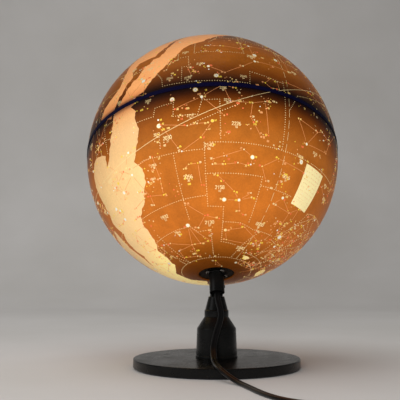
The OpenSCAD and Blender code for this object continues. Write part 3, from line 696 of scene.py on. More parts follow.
for name, node, line, slot, steps in (
    ("lower_shell", "lower_hemisphere", lower_line, "globe_shell", 256),
    ("upper_shell", "upper_hemisphere", upper_line, "globe_shell", 256),
    ("seam_band", "seam_tape", tape_line, "tape_navy", 256),
    ("flange_disc", "pole_flange", flange_line, "flange_black", 96),
):
    lathe(name, line, "globe", slot, [node], ON_AXIS, steps)

# Screws of the flange, with low round heads and a cross recess. They point down the axis, away
# from the globe.
SCREW_HEAD_R = 2.1
SCREW_HEAD_H = 1.9
SCREW_L = 8.0
screw_top = FLANGE_SINK - SCREW_HEAD_H
screw_line = [
    (0, screw_top), (0.7, screw_top + 0.02), (1.3, screw_top + 0.16), (1.75, screw_top + 0.45),
    (2.02, screw_top + 0.9), (SCREW_HEAD_R, FLANGE_SINK - 0.15), (SCREW_HEAD_R - 0.1, FLANGE_SINK),
    (1.25, FLANGE_SINK), (1.25, FLANGE_SINK + SCREW_L), (0, FLANGE_SINK + SCREW_L),
]
for i in range(1, 5):
    turn = Matrix.Rotation(math.radians(-62 + 90 * (i - 1)), 4, "Z")
    place = ON_AXIS @ turn @ Matrix.Translation((9.4, 0, 0))
    screw = lathe(
        f"screw_{i}", screw_line, "globe", "nickel", [f"flange_screw_{i}"], place, 32, 40
    )
    spin = Matrix.Rotation(math.radians(20 + 37 * i), 4, "Z")
    for half_x, half_y in ((1.25, 0.28), (0.28, 1.25)):
        cut(screw, (-half_x, -half_y, screw_top - 1), (half_x, half_y, screw_top + 0.7), place @ spin)

# Stars of each figure: right ascension, declination and magnitude. After the bar, chains of star
# numbers, counted from 0, that thin lines join.
FIGURES = """
344.4 -29.6 1.2, 344 -32.5 4.2, 343.1 -32.9 4.5, 337.9 -32.3 4.3, 332.1 -33 4.5, 326.2 -33 4.3,
326.9 -30.9 5, 340.2 -27 4.2 | 0 1 2 3 4 5 6 7 0;
332.1 -47 1.7, 340.7 -46.9 2.1, 328.5 -37.4 3, 337.3 -43.5 4, 342.1 -51.3 3.5, 345.2 -52.8 4.1,
331.5 -39.5 4.5, 347.6 -45.2 3.9, 346.7 -43.5 4.3 | 2 6 3 1 4 5 / 0 1 8 / 1 7;
6.6 -42.3 2.4, 16.5 -46.7 3.3, 22.1 -43.3 3.4, 22.8 -49.1 4, 2.4 -45.7 3.9, 17.1 -55.2 3.9 |
4 0 1 2 3 5 1 4;
334.6 -60.3 2.9, 349.4 -58.2 4, 7.9 -63 4.2, 5 -64.9 4.2, 336.8 -65 4.5, 360 -65.6 4.5 | 0 1 2 3 5 4 0;
309.4 -47.3 3.1, 320 -53.4 4.4, 313.7 -58.5 3.7, 329.5 -55 4.4 | 0 1 2 / 1 3;
306.4 -56.7 1.9, 311.2 -66.2 3.4, 302.2 -66.2 3.6, 300.2 -72.9 4, 280.8 -71.4 4, 266.4 -64.7 3.6,
275.8 -61.5 4.4, 283 -62.2 4.2, 284.2 -67.2 4.4, 321.6 -65.4 4.2 | 0 1 9 0 2 1 / 3 2 8 4 3 / 2 7 6 5;
315.3 -32.3 4.7, 312.5 -33.8 4.9, 319.5 -32.2 4.7, 320.2 -40.8 4.8 | 1 0 2 3;
304.5 -12.5 3.6, 305.3 -14.8 3.1, 311.5 -25.3 4.1, 313 -26.9 4.1, 321.7 -22.4 3.7, 324.3 -19.5 4.5,
326.8 -16.1 2.9, 325 -16.7 3.7, 320.6 -16.8 4.3, 316.5 -17.2 4.1 | 0 1 2 3 4 5 6 7 8 9 1;
331.4 -0.3 2.9, 322.9 -5.6 2.9, 335.4 -1.4 3.8, 337.2 0 3.7, 338.8 -0.1 4, 336.3 1.4 4.6, 334.2 -7.8 4.2,
343.2 -7.6 3.7, 343.7 -15.8 3.3, 342.4 -13.6 4, 311.9 -9.5 3.8, 349 -9.1 4.2, 347.4 -21.2 3.7,
350.7 -20.1 4, 331.6 -13.9 4.3, 348.6 -6 4.2 | 10 1 0 2 3 4 / 3 5 0 / 0 6 7 15 11 13 12 8 9 7 / 1 14;
297.7 8.9 0.8, 298.8 6.4 3.7, 296.6 10.6 2.7, 291.4 3.1 3.4, 286.4 13.9 3, 298.1 1 3.9, 302.8 -0.8 3.2,
286.6 -4.9 3.4, 294.2 -1.3 4.4 | 2 0 1 5 6 / 0 3 4 2 / 7 3 5;
309.9 15.9 3.8, 309.4 14.6 3.6, 311.7 16.1 3.9, 310.9 15.1 4.4, 308.3 11.3 4 | 4 1 0 2 3 1;
319 5.2 3.9, 317.6 10.1 4.7, 318.6 10 4.5, 320.7 6.8 5.2 | 0 1 2 3 0;
295 18 4.4, 295.3 17.5 4.4, 296.8 18.5 3.8, 299.7 19.5 3.5 | 0 2 3 / 1 2;
310.4 45.3 1.2, 305.6 40.3 2.2, 296.2 45.1 2.9, 311.6 34 2.5, 292.7 28 3.1, 299.1 35.1 3.9,
318.2 30.2 3.2, 289.3 53.4 3.8, 292.4 51.7 3.8 | 0 1 5 4 / 7 8 2 1 3 6;
279.2 38.8 0, 282.5 33.4 3.5, 284.7 32.7 3.2, 283.6 36.9 4.3, 281.2 37.6 4.3 | 0 4 1 2 3 4;
346.2 15.2 2.5, 345.9 28.1 2.4, 3.3 15.2 2.8, 326 9.9 2.4, 340.4 10.8 3.4, 332.6 6.2 3.5, 340.8 30.2 2.9,
331.8 25.3 3.8, 326.2 25.6 4.1, 341.6 23.6 4, 342.5 24.6 3.5, 2.1 29.1 2.1 | 2 0 1 11 2 / 0 4 5 3 /
6 1 10 9 7 8;
2.1 29.1 2.1, 9.8 30.9 3.3, 17.4 35.6 2.1, 31 42.3 2.2, 14.2 38.5 3.9, 12.5 41.1 4.5, 9.2 33.7 4.4,
345.5 42.3 3.6, 354.4 46.5 3.8 | 0 1 2 3 / 2 4 5 / 1 6 7 8;
30.5 2.8 3.8, 22.9 15.3 3.6, 26.4 9.2 4.3, 15.7 7.9 4.3, 12.2 7.6 4.4, 359.8 6.9 4, 355 5.6 4.1,
352 6.4 4.3, 349.3 3.3 3.7, 351.7 1.3 4.9, 355.5 1.8 4.5, 25.4 5.5 4.4, 21.6 19.2 5.3, 17.9 30.1 4.5,
19.9 27.3 4.7, 18.4 24.6 4.7 | 13 14 15 12 1 2 0 11 3 4 5 6 7 8 9 10 6;
10.9 -18 2, 45.6 4.1 2.5, 34.8 -3 3.2, 40.8 3.2 3.5, 39.9 0.3 4.1, 17.1 -10.2 3.4, 21 -8.2 3.6,
27.9 -10.3 3.7, 26 -15.9 3.5, 4.9 -8.8 3.6, 41.2 10.1 4.3, 37 8.5 4.3 | 9 5 0 8 7 6 5 /
7 2 4 3 1 10 11 3 / 9 0;
14.7 -29.4 4.3, 353.2 -37.8 4.4, 349.7 -32.5 4.4, 357.2 -28.1 4.6 | 0 3 2 1;
48 -29 3.9, 42.3 -32.4 4.5, 31.1 -29.3 4.7 | 0 1 2;
77 -5.1 2.8, 73.2 -5.5 4.4, 71.4 -3.3 4, 69.1 -3.4 3.9, 63 -6.8 4, 59.5 -13.5 3, 55.8 -9.8 3.5,
53.2 -9.5 3.7, 44.1 -8.9 3.9, 41.3 -18.6 4.5, 45.6 -23.6 4.1, 49.9 -21.8 3.7, 56.7 -23.2 4.2,
68.9 -30.6 3.8, 64.5 -33.8 3.5, 44.6 -40.3 2.9, 40.2 -39.9 4.1, 36.7 -47.7 4.2, 34.1 -51.5 3.6,
29 -51.6 3.7, 24.4 -57.2 0.5 | 0 1 2 3 4 5 6 7 8 9 10 11 12 13 14 15 16 17 18 19 20;
29.7 -61.6 2.9, 6.4 -77.2 2.8, 56.8 -74.2 3.2, 35.4 -68.7 4.1 | 0 3 2 1 0;
325.4 -77.4 3.8, 341.5 -81.4 4.1, 325 -80 5.2 | 0 1 2 0;
63.5 -42.3 3.9, 40.6 -50.8 5.2, 39.4 -54.6 5.2, 44.7 -64.1 5.2 | 0 1 2 3;
63.6 -62.5 3.4, 56.1 -64.8 3.8, 59.7 -61.4 4.6, 64.1 -59.3 4.4 | 0 1 2 3 0;
68.5 -55 3.3, 64 -51.5 4.3, 83.4 -62.5 3.8, 76.4 -57.5 4.7, 86.2 -65.7 4.4 | 1 0 3 2 4;
276 -34.4 1.9, 275.2 -29.8 2.7, 277 -25.4 2.8, 281.4 -27 3.2, 283.8 -26.3 2, 286.7 -27.7 3.3,
285.7 -29.9 2.6, 271.5 -30.4 3, 273.4 -21.1 3.8, 274.4 -36.8 3.1, 284.4 -21.1 3.5, 286.2 -21.7 3.8,
287.4 -21 2.9, 290.7 -44.5 4, 291 -40.6 4, 298.8 -41.9 4.1, 299.9 -35.3 4.4, 299 -26.3 4.7 | 7 0 1 7 /
1 2 3 1 / 3 4 5 6 3 / 6 0 9 / 2 8 / 4 11 12 / 6 14 13 / 14 15 16 17 5;
287.4 -37.9 4.1, 287.5 -39.3 4.1, 286.6 -37.1 4.2, 287.1 -40.5 4.6, 284.7 -37.1 4.8, 278.4 -42.3 4.6 |
4 2 0 1 3 5;
276.7 -46 3.5, 277.2 -49.1 4.1, 272.8 -46 4.5 | 2 0 1;
261.3 -55.5 2.8, 263 -49.9 2.8, 261.4 -56.4 3.3, 254.7 -56 3.1, 254.9 -53.2 4.1, 252.4 -59 3.8,
262.8 -60.7 3.6, 271.7 -50.1 3.7 | 7 1 0 2 6 5 3 4 1;
247.4 -26.4 1, 241.4 -19.8 2.6, 240.1 -22.6 2.3, 239.7 -26.1 2.9, 245.3 -25.6 2.9, 249 -28.2 2.8,
252.5 -34.3 2.3, 253 -38 3, 253.7 -42.4 3.6, 258 -43.2 3.3, 264.3 -43 1.9, 266.9 -40.1 3, 265.6 -39 2.4,
263.4 -37.1 1.6, 262.7 -37.3 2.7 | 1 2 3 / 2 4 0 5 6 7 8 9 10 11 12 13 14;
252.2 -69 1.9, 238.8 -63.4 2.8, 229.7 -68.7 2.9 | 0 1 2 0;
219.9 -60.8 -0.3, 211 -60.4 0.6, 190.4 -49 2.2, 182.1 -50.7 2.6, 205 -53.5 2.3, 208.9 -47.3 2.5,
218.9 -42.2 2.3, 211.7 -36.4 2.1, 200.1 -36.7 2.7, 224.8 -42.1 3.1, 174 -63 3.1 | 0 1 4 2 3 10 / 4 5 6 9 /
5 7 8;
186.6 -63.1 0.8, 191.9 -59.7 1.2, 187.8 -57.1 1.6, 183.8 -58.7 2.8 | 0 2 / 1 3;
220.5 -47.4 2.3, 224.6 -43.1 2.7, 233.8 -41.2 2.8, 230.3 -40.6 3.2, 230.7 -44.7 3.4, 228.1 -52.1 3.4,
240 -38.4 3.4 | 5 0 1 3 2 6 / 2 4 5;
222.7 -16 2.8, 229.2 -9.4 2.6, 233.9 -14.8 3.9, 226 -25.3 3.3 | 3 0 1 2 0;
201.3 -11.2 1, 190.4 -1.4 2.7, 195.5 11 2.8, 193.9 3.4 3.4, 177.7 1.8 3.6, 185 -0.7 3.9, 203.7 -0.6 3.4,
197.5 -5.5 4.4, 214 -6 4.1, 220.8 -5.7 3.9, 210.4 1.5 4.3, 221.6 1.9 3.7 | 4 5 1 3 2 / 1 7 0 8 9 /
3 6 10 11 / 0 6;
188.6 -23.4 2.6, 184 -17.5 2.6, 187.5 -16.5 2.9, 182.5 -22.6 3, 182.1 -24.7 4 | 4 3 1 2 0 3;
141.9 -8.7 2, 133.8 5.9 3.1, 131.7 6.4 3.4, 129.4 5.7 4.1, 138.6 2.3 3.9, 145 -1.1 3.9, 147.9 -14.8 4.1,
152.6 -12.4 3.6, 156.5 -16.8 3.8, 162.4 -16.2 3.1, 173.2 -31.9 3.5, 178.2 -33.9 4.3, 199.7 -23.2 3,
211.6 -26.7 3.3 | 3 2 1 4 5 0 6 7 8 9 10 11 12 13;
152.1 12 1.4, 177.3 14.6 2.1, 155 19.8 2, 168.5 20.5 2.6, 168.6 15.4 3.3, 146.5 23.8 3, 154.2 23.4 3.4,
151.8 16.8 3.5, 148.2 26 3.9 | 0 7 2 3 1 4 0 / 2 6 8 5;
113.6 31.9 1.6, 116.3 28 1.1, 99.4 16.4 1.9, 95.7 22.5 2.9, 101 25.1 3, 93.7 22.5 3.3, 110 22 3.5,
106 20.6 3.8, 101.3 12.9 3.4, 109.5 16.5 3.6, 103.2 34 3.6 | 0 10 / 0 4 3 5 / 1 6 7 2 / 6 9 8 / 0 1;
88.8 7.4 0.5, 78.6 -8.2 0.1, 81.3 6.3 1.6, 83 -0.3 2.2, 84.1 -1.2 1.7, 85.2 -1.9 1.8, 86.9 -9.7 2.1,
83.8 9.9 3.5, 72.5 7 3.2, 81.1 -2.4 3.4, 74.1 1.7 3.7, 72.8 5.6 3.7 | 0 5 6 1 9 3 2 7 0 / 3 4 5 / 2 8 /
8 11 10;
69 16.5 0.9, 81.6 28.6 1.6, 84.4 21.1 3, 65 15.6 3.7, 65.7 17.5 3.8, 67.2 19.2 3.5, 60.2 12.5 3.5,
51.2 9 3.6, 56.9 24.1 2.9 | 2 0 3 4 5 1 / 3 6 7 / 4 8;
101.3 -16.7 -1.4, 95.7 -18 2, 104.7 -29 1.5, 107.1 -26.4 1.8, 111 -29.3 2.4, 105.8 -23.8 3, 95.1 -30.1 3,
103.9 -17.1 4.4 | 1 0 5 3 4 / 3 2 6 / 0 7;
114.8 5.2 0.4, 111.8 8.3 2.9 | 0 1;
83.2 -17.8 2.6, 82.1 -20.8 2.8, 76.4 -22.4 3.2, 78.2 -16.2 3.3, 86.1 -22.5 3.6, 86.7 -14.8 3.5 |
5 0 3 2 1 0 / 1 4;
84.9 -34.1 2.6, 87.7 -35.8 3.1, 82.8 -35.5 3.9 | 2 0 1;
96 -52.7 -0.7, 138.3 -69.7 1.7, 125.6 -59.5 1.9, 139.3 -59.3 2.2, 160.7 -64.4 2.7, 146.8 -65.1 2.9,
122.4 -47.3 1.8, 131.2 -54.7 2, 140.5 -55 2.5, 137 -43.4 2.2, 161.7 -49.4 2.7, 149.2 -54.6 3.5,
120.9 -40 2.2, 109.3 -37.1 2.7, 121.9 -24.3 2.8, 99.4 -43.2 3.2, 102.5 -50.6 2.9, 112.3 -43.3 3.3 |
0 2 3 5 1 / 5 4 / 6 7 8 11 10 9 6 12 14 / 12 13 15 16 0;
189.3 -69.1 2.7, 191.6 -68.1 3, 195.6 -71.5 3.6, 176.4 -66.7 3.6 | 3 0 1 2;
165.9 61.8 1.8, 165.5 56.4 2.4, 178.5 53.7 2.4, 183.9 57 3.3, 193.5 56 1.8, 201 54.9 2.2, 206.9 49.3 1.9,
134.8 48 3.1, 143.2 51.7 3.2, 167.4 44.5 3, 169.6 33.1 3.5, 169.6 31.5 3.8, 155.6 41.5 3.1,
127.6 60.7 3.4, 142.9 63.1 3.7, 147.8 59 3.8 | 6 5 4 3 0 1 2 3 / 2 9 10 11 / 9 12 / 1 15 13 14 0 / 15 8 7;
38 89.3 2, 222.7 74.2 2.1, 230.2 71.8 3, 263.1 86.6 4.4, 251.5 82 4.2, 236 77.8 4.3, 244.4 75.8 5 |
0 3 4 5 1 2 6 5;
10.1 56.5 2.2, 2.3 59.2 2.3, 14.2 60.7 2.5, 21.5 60.2 2.7, 28.6 63.7 3.4 | 1 0 2 3 4;
319.6 62.6 2.5, 322.2 70.6 3.2, 354.8 77.6 3.2, 342.4 66.2 3.5, 332.7 58.2 3.4, 337.3 58.4 4,
311.3 61.8 3.4 | 6 0 1 2 3 5 4 0;
269.2 51.5 2.2, 262.6 52.3 2.8, 268.4 56.9 3.7, 263.1 55.2 4.9, 288.1 67.7 3.1, 275.3 72.7 3.6,
257.2 65.7 3.2, 246 61.5 2.7, 240.5 58.6 4, 231.2 59 3.3, 211.1 64.4 3.7, 188.4 69.8 3.9, 172.9 69.3 3.8,
297 70.3 3.8 | 12 11 10 9 8 7 6 5 4 13 / 4 2 0 1 3 2;
51.1 49.9 1.8, 47 41 2.1, 46.2 53.5 2.9, 55.7 47.8 3, 59.5 40 2.9, 58.5 31.9 2.8, 42.7 55.9 3.8,
46.3 38.8 3.4, 47.4 44.9 3.8, 59.7 35.8 4 | 6 2 0 3 4 9 5 / 0 8 1 7;
79.2 46 0.1, 89.9 45 1.9, 89.9 37.2 2.6, 74.2 33.2 2.7, 75.5 43.8 3, 81.6 28.6 1.6 | 0 1 2 5 3 4 0;
31.8 23.5 2, 28.7 20.8 2.6, 28.4 19.3 3.9, 42.5 27.3 3.6 | 3 0 1 2;
28.3 29.6 3.4, 32.4 35 3, 34.3 33.8 4 | 0 1 2 0;
258.7 14.4 3, 247.6 21.5 2.8, 258.8 24.8 3.1, 250.3 31.6 2.8, 250.7 38.9 3.5, 258.8 36.8 3.2,
255.1 30.9 3.9, 266.6 27.7 3.4, 269.4 29.2 3.7, 269.1 37.3 3.9, 264.9 46 3.8, 245.5 19.2 3.7,
248.5 42.4 4.2 | 0 1 3 6 2 0 / 3 4 5 6 / 1 11 / 2 7 8 / 5 9 10 / 4 12;
263.7 12.6 2.1, 265.9 4.6 2.8, 257.6 -15.7 2.4, 249.3 -10.6 2.5, 243.6 -3.7 2.7, 244.6 -4.7 3.2,
254.4 9.4 3.2, 269.8 -9.8 3.3, 260.5 -25 3.3 | 0 6 4 5 3 2 1 0 / 2 8 / 1 7;
236.1 6.4 2.6, 236.6 15.4 3.7, 239.1 15.7 3.8, 233.7 10.5 3.8, 237.7 4.5 3.7, 237.4 -3.4 3.5 | 1 2 3 1 /
3 0 4 5;
275.3 -2.9 3.2, 284.1 4.2 4, 264.4 -15.4 3.5 | 2 0 1;
213.9 19.2 0, 221.2 27.1 2.4, 208.7 18.4 2.7, 218 38.3 3, 225.5 40.4 3.5, 228.9 33.3 3.5, 218 30.4 3.6,
220.3 13.7 3.8 | 2 0 1 5 4 3 6 0 7;
233.7 26.7 2.2, 232 29.1 3.7, 235.7 26.3 3.8, 237.4 26.1 4.6, 239.4 26.9 4.1, 233.2 31.4 4.1 | 5 1 0 2 3 4;
278.8 -8.2 3.8, 281.8 -4.7 4.2 | 0 1;
194 38.3 2.9, 188.4 41.4 4.3 | 0 1;
337.8 50.3 3.8, 335.9 52.2 4.4, 337.4 47.7 4.4, 334 37.7 4.1 | 1 0 2 3
"""

# Borders between figures, as corners in right ascension and declination
BORDERS = """
288 -28, 294.5 -26.5, 303.5 -27, 325.5 -27
309 -28, 309 -55
275 -47.5, 296 -46.5, 309 -45.5, 323 -45
323 -24.5, 322.5 -49.5, 332 -50, 332 -66, 349.5 -67.5
272 -59, 297.5 -57.5, 308 -57.5, 312.5 -60.5, 323 -60, 323 -74
278.5 -56.5, 280 -76
322.5 -36.5, 351 -36.5, 351 -56.5
325.5 -24.5, 15.5 -24.5
351.5 -40, 12.5 -40.5
332.5 -56.5, 345 -56.5, 356.5 -58.5, 18 -58.5
32.5 -42, 28 -52, 24 -61.5, 23 -70.5
323 -7, 330 -7, 330 -24
358 -3.5, 358 -25
304 10.5, 306.5 6.5, 307 2.5, 342.5 1.5, 343 8, 358.5 5.5
313 17.5, 317.5 17.5, 318 11, 315 11, 315 2.5
294 -10.5, 302.5 -10.5, 303.5 -7, 311.5 -6.5, 311 -12.5, 321 -13, 323 -7
304 -18.5, 303.5 -25
303 9, 303 20.5, 313 20.5, 313 17.5
284 21, 290 21, 290 16, 303 16
289 28, 305 29, 320 28.5, 320 20, 342 20, 342 35.5, 331 35.5, 326 28.5
289 28, 289 43.5, 288 52, 296 59.5, 308 59.5, 308 55, 325 55, 331 44, 331 35.5
274 26, 274 47.5, 289 47.5
325 55, 343 56, 343 35.5, 352 33, 2 30, 2 22, 10 22, 10 33, 25 34, 38 37
343 53, 0 48.5, 25 50, 38 47, 38 37, 50 31
343 56, 350 63, 357 67, 10 66, 18 77, 50 77, 50 57, 22 54, 0 48.5
308 60, 308 67, 303 67, 303 75, 340 75, 345 86
308 60, 290 60, 272 50, 240 51, 210 55, 210 65, 183 66, 183 80, 300 82
27 10, 27 25, 40 25, 40 31, 51 31, 51 10, 27 10
51 0, 51 10
51 31, 70 31, 88 28, 88 18, 70 16, 70 0, 51 0
88 18, 94 21, 94 12, 96 0, 88 -11, 70 -11, 70 0
94 21, 100 35, 118 33, 120 20, 110 12, 94 12
70 31, 70 56, 90 56, 115 44, 115 35, 100 35
120 20, 120 33, 140 33, 140 7, 120 7, 120 20
108 12, 120 13, 120 0, 96 0
88 -11, 122 -11, 122 7
92 -11, 92 -33, 111 -33, 111 -11
74 -11, 74 -27, 92 -27
111 -33, 120 -43, 90 -43, 90 -51, 120 -57, 167 -57
145 -11, 162 -11, 162 -20, 178 -25, 215 -25, 215 -30
178 -35, 165 -35, 145 -25, 122 -11
140 33, 165 25, 178 29, 178 10, 174 -6, 150 -4, 140 7
174 -11, 192 -11, 192 -25
180 14, 203 14, 203 8, 226 8, 226 -8, 215 -22, 192 -22
180 14, 180 34, 203 30, 203 14
203 30, 210 55, 228 53, 236 40, 228 26, 228 8
236 40, 246 40, 246 26, 228 26
241 4, 241 16, 246 26, 246 40, 240 51
270 51, 274 47, 274 26, 284 21, 284 12, 260 14, 258 4, 241 4, 241 -20
120 60, 120 73, 160 73, 183 66
120 33, 140 40, 165 25
245 -30, 265 -30, 265 -10, 275 -10, 282 -12, 282 6, 284 12
226 -4, 240 -4, 241 -20, 240 -30, 220 -30, 215 -22
240 -30, 240 -45, 268 -45, 268 -30
167 -35, 167 -57, 180 -64, 220 -64, 228 -55, 228 -30
180 -56, 194 -56, 194 -64
250 -45, 272 -45, 272 -57, 262 -67, 250 -60, 250 -45
90 -51, 105 -60, 135 -75, 167 -75, 167 -57
68 -54, 75 -43, 90 -43
58 -50, 75 -54, 98 -70, 68 -70, 58 -50
32.5 -42, 58 -50
74 -27, 60 -37, 40 -40, 32.5 -42
51 0, 40 -2, 40 -24, 15.5 -24.5
26 -24, 26 -40, 12.5 -40.5
0 -7, 5 2, 30 10, 30 2
200 -64, 205 -71, 270 -68, 280 -76
275 -16, 275 -4, 284 -4, 284 -12
318 -16.8, 326 -14, 332 -11.4, 338 -8.6
358 -3.5, 358 8
20 -54, 20 -60, 33 -61, 33 -67, 45 -68, 45 -75
30 -47, 44 -47, 44 -58, 60 -58, 60 -67
0 -70.5, 60 -70.5
40 -40, 52 -46, 60 -50
350.5 -74, 356 -65.5, 3.5 -58.5
17.5 -69, 40.5 -60.5, 54 -54, 60.5 -47.5
35 -67.5, 45 -53, 51 -45
21.5 -57.5, 31.5 -47, 43 -40
35.5 -74.5, 52 -64.5, 66 -60
"""

# Pale dots with a ring, and the middles of large and small labels
RINGED = [(304.5, -15), (311, -5), (320.5, -2.1), (329, 4.5), (347, 20), (358, 21), (10, -26)]
BIG_LABELS = """
314 -37.5, 293 -51, 322.5 -57, 329.5 -42.5, 4 -34.5, 0 -56, 355 -69, 336.5 -17.5, 307.5 -21, 325 -26,
15 40, 35 20, 60 20, 80 5, 100 22, 130 20, 155 15, 190 -3, 185 25, 215 30, 255 28, 260 -5, 225 -15,
250 -33, 270 -27, 45 5, 40 -32, 55 -15, 82 -20, 103 -22, 115 -30, 150 -18, 200 -45, 230 -38, 150 -48,
105 45, 55 45, 15 62, 330 70, 250 65, 165 55, 205 60, 300 42, 280 36, 345 18, 75 -47, 85 -62, 130 -63
"""
SMALL_LABELS = """
298.5 -30, 296 -35, 296 -59, 17.5 -20, 12 -73, 58 -62.5, 340 4.5, 7 16.5, 331.5 -2, 333 -7.5, 310 5.5,
317.5 4, 300.5 -3, 318 -13.5, 316 21, 322.5 11.5, 303 -18.5, 9 -24.5, 34.5 -27.5, 285 3, 120 8, 170 -15,
183 -20, 235 30, 220 -70, 255 -55, 210 -20, 85 -35, 70 -38, 35 32, 335 45, 290 20, 300 15
"""

# Printed chart of the sky. Its places are right ascension and declination, in degrees.

# Radii of the foot and of the tops of the prints, and sizes of their marks, in millimetres
PRINT_FOOT = GLOBE_R - 0.12
BAND_TOP = GLOBE_R - 0.05
LINE_TOP = GLOBE_R - 0.03
NUMERAL_TOP = GLOBE_R - 0.01
MARK_TOP = GLOBE_R
DOT_PITCH = 2.2
DOT_R = 0.42
FIGURE_LINE_W = 0.34
CROWD_LINE_W = 0.26
CIRCLE_LINE_W = 0.26
SUN_LINE_W = 0.42
BIG_LABEL_H = 2.8
SMALL_LABEL_H = 2.1
STAR_NUMBER_H = 1.3
GROUP_NUMBER_H = 1.4
# In units of the numerals' grid
NUMERAL_PITCH = 2.9
NUMERAL_GAP = 0.9
# In degrees
LINE_STEP = 0.75
TOWARDS = Vector((0, -math.cos(AXIS_TILT), math.sin(AXIS_TILT)))


def turned(pole, start, along, off):
    """Direction at an angle along the great circle about pole, counted from start, and off it."""
    here = math.radians(along)
    rise = math.radians(off)
    flat = math.cos(here) * start + math.sin(here) * pole.cross(start)
    return math.cos(rise) * flat + math.sin(rise) * pole


def sky(ascension, rise):
    return turned(AXIS, TOWARDS, ascension - FRONT_ASCENSION, rise)


def moved(middle, east, north):
    """Direction a few millimetres away from another, to the east and north."""
    across = AXIS.cross(middle).normalized()
    up = middle.cross(across)
    return (middle + (across * east + up * north) / GLOBE_R).normalized()


GALAXY_POLE = sky(192.86, 27.13)
galaxy_middle = sky(266.4, -28.94)
GALAXY_START = (galaxy_middle - GALAXY_POLE * galaxy_middle.dot(GALAXY_POLE)).normalized()
# Two places on the circle that the sun follows, as the chart prints it
SUN_A = sky(291, -22)
SUN_B = sky(342, -5)


class Print:
    """Closed thin print of one ink, raised a few hundredths of a millimetre on the paper."""

    def __init__(self):
        self.points = []
        self.faces = []

    def raise_up(self, ways, top):
        """Puts points along the directions at the top and then at the foot; gives the first's number."""
        start = len(self.points)
        for radius in (top, PRINT_FOOT):
            self.points += [GLOBE_MID + way * radius for way in ways]
        return start

    def sheet(self, rows, top, loop=False):
        """Skin over a grid of directions; a loop joins its last row to its first."""
        width = len(rows[0])
        total = width * len(rows)
        start = self.raise_up([way for row in rows for way in row], top)
        for i in range(len(rows) - (not loop)):
            a = start + i * width
            b = start + (i + 1) % len(rows) * width
            for k in range(width - 1):
                self.faces.append((a + k, a + k + 1, b + k + 1, b + k))
                self.faces.append((b + k + total, b + k + 1 + total, a + k + 1 + total, a + k + total))
            for p, q in ((b, a), (a + width - 1, b + width - 1)):
                self.faces.append((p, q, q + total, p + total))
        if not loop:
            for row, way in ((start, 1), (start + total - width, -1)):
                for k in range(width - 1):
                    p, q = (row + k, row + k + 1)[::way]
                    self.faces.append((p, q, q + total, p + total))

    def disc(self, middle, radius, sides, top):
        """Prism over a small flat polygon."""
        across = middle.cross(AXIS).normalized()
        up = across.cross(middle)
        ring = []
        for k in range(sides):
            turn = 2 * math.pi * k / sides
            out = across * math.cos(turn) + up * math.sin(turn)
            ring.append((middle + out * (radius / GLOBE_R)).normalized())
        a = self.raise_up(ring, top)
        b = a + sides
        self.faces.append(tuple(range(a, b)))
        self.faces.append(tuple(reversed(range(b, b + sides))))
        for k in range(sides):
            j = (k + 1) % sides
            self.faces.append((a + k, b + k, b + j, a + j))

    def ribbon(self, line, width, top):
        """Strip along a line of directions, mitred at its bends."""
        half = width / 2 / GLOBE_R
        least_spread = 0.6
        rows = []
        for i, here in enumerate(line):
            back = (here - line[i - 1]).normalized() if i else None
            ahead = (line[i + 1] - here).normalized() if i + 1 < len(line) else None
            along = ((back or ahead) + (ahead or back)).normalized()
            side = along.cross(here) * (half / max(least_spread, along.dot(ahead or back)))
            rows.append([(here - side).normalized(), (here + side).normalized()])
        self.sheet(rows, top)

    def done(self, name, material):
        make(
            name, self.points, self.faces, "globe", "globe_shell", material=material, weld=False
        )


prints = {}


def ink(tone, middle):
    """The print that takes marks of one tone, in the copy of its ink with the painted lamp light of their
    place.
    """
    rise = math.degrees(math.asin(middle.dot(AXIS)))
    for light, ranges in PAINTED_LIGHT_RANGES.items():
        if any(low <= rise < high for low, high in ranges):
            return prints.setdefault((tone, light), Print())


def dot(tone, spot, radius, sides=6, top=MARK_TOP):
    ink(tone, spot).disc(spot, radius, sides, top)


def great_arc(start, end, step):
    """Directions along the shortest way between two places, at most step degrees apart."""
    angle = start.angle(end)
    parts = max(1, math.ceil(math.degrees(angle) / step))
    side = (end - start * start.dot(end)).normalized()
    turns = [angle * k / parts for k in range(parts + 1)]
    return [start * math.cos(turn) + side * math.sin(turn) for turn in turns]


def thin_line(line, tone, width):
    """Ribbon that changes to another copy of its ink where the painted lamp light on it changes."""
    run = [line[0]]
    current = None
    for here, ahead in zip(line, line[1:]):
        needed = ink(tone, (here + ahead).normalized())
        if current not in (None, needed):
            current.ribbon(run, width, LINE_TOP)
            run = [here]
        current = needed
        run.append(ahead)
    current.ribbon(run, width, LINE_TOP)


def dotted(route):
    """Row of dots along straight runs of the chart."""
    for (ra_a, dec_a), (ra_b, dec_b) in zip(route, route[1:]):
        turn = (ra_b - ra_a + 180) % 360 - 180
        wide = turn * math.cos(math.radians((dec_a + dec_b) / 2))
        length = math.radians(math.hypot(wide, dec_b - dec_a)) * GLOBE_R
        count = max(1, round(length / DOT_PITCH))
        for k in range(count):
            dot("cream", sky(ra_a + turn * k / count, dec_a + (dec_b - dec_a) * k / count), DOT_R)


def numbers(text):
    return [tuple(float(v) for v in stop.split()) for stop in text.split(",")]


def routes(text):
    """Routes written as lines of 'a b, a b, ...'. A backslash carries a route over to the next line."""
    return [numbers(line) for line in text.strip().splitlines()]


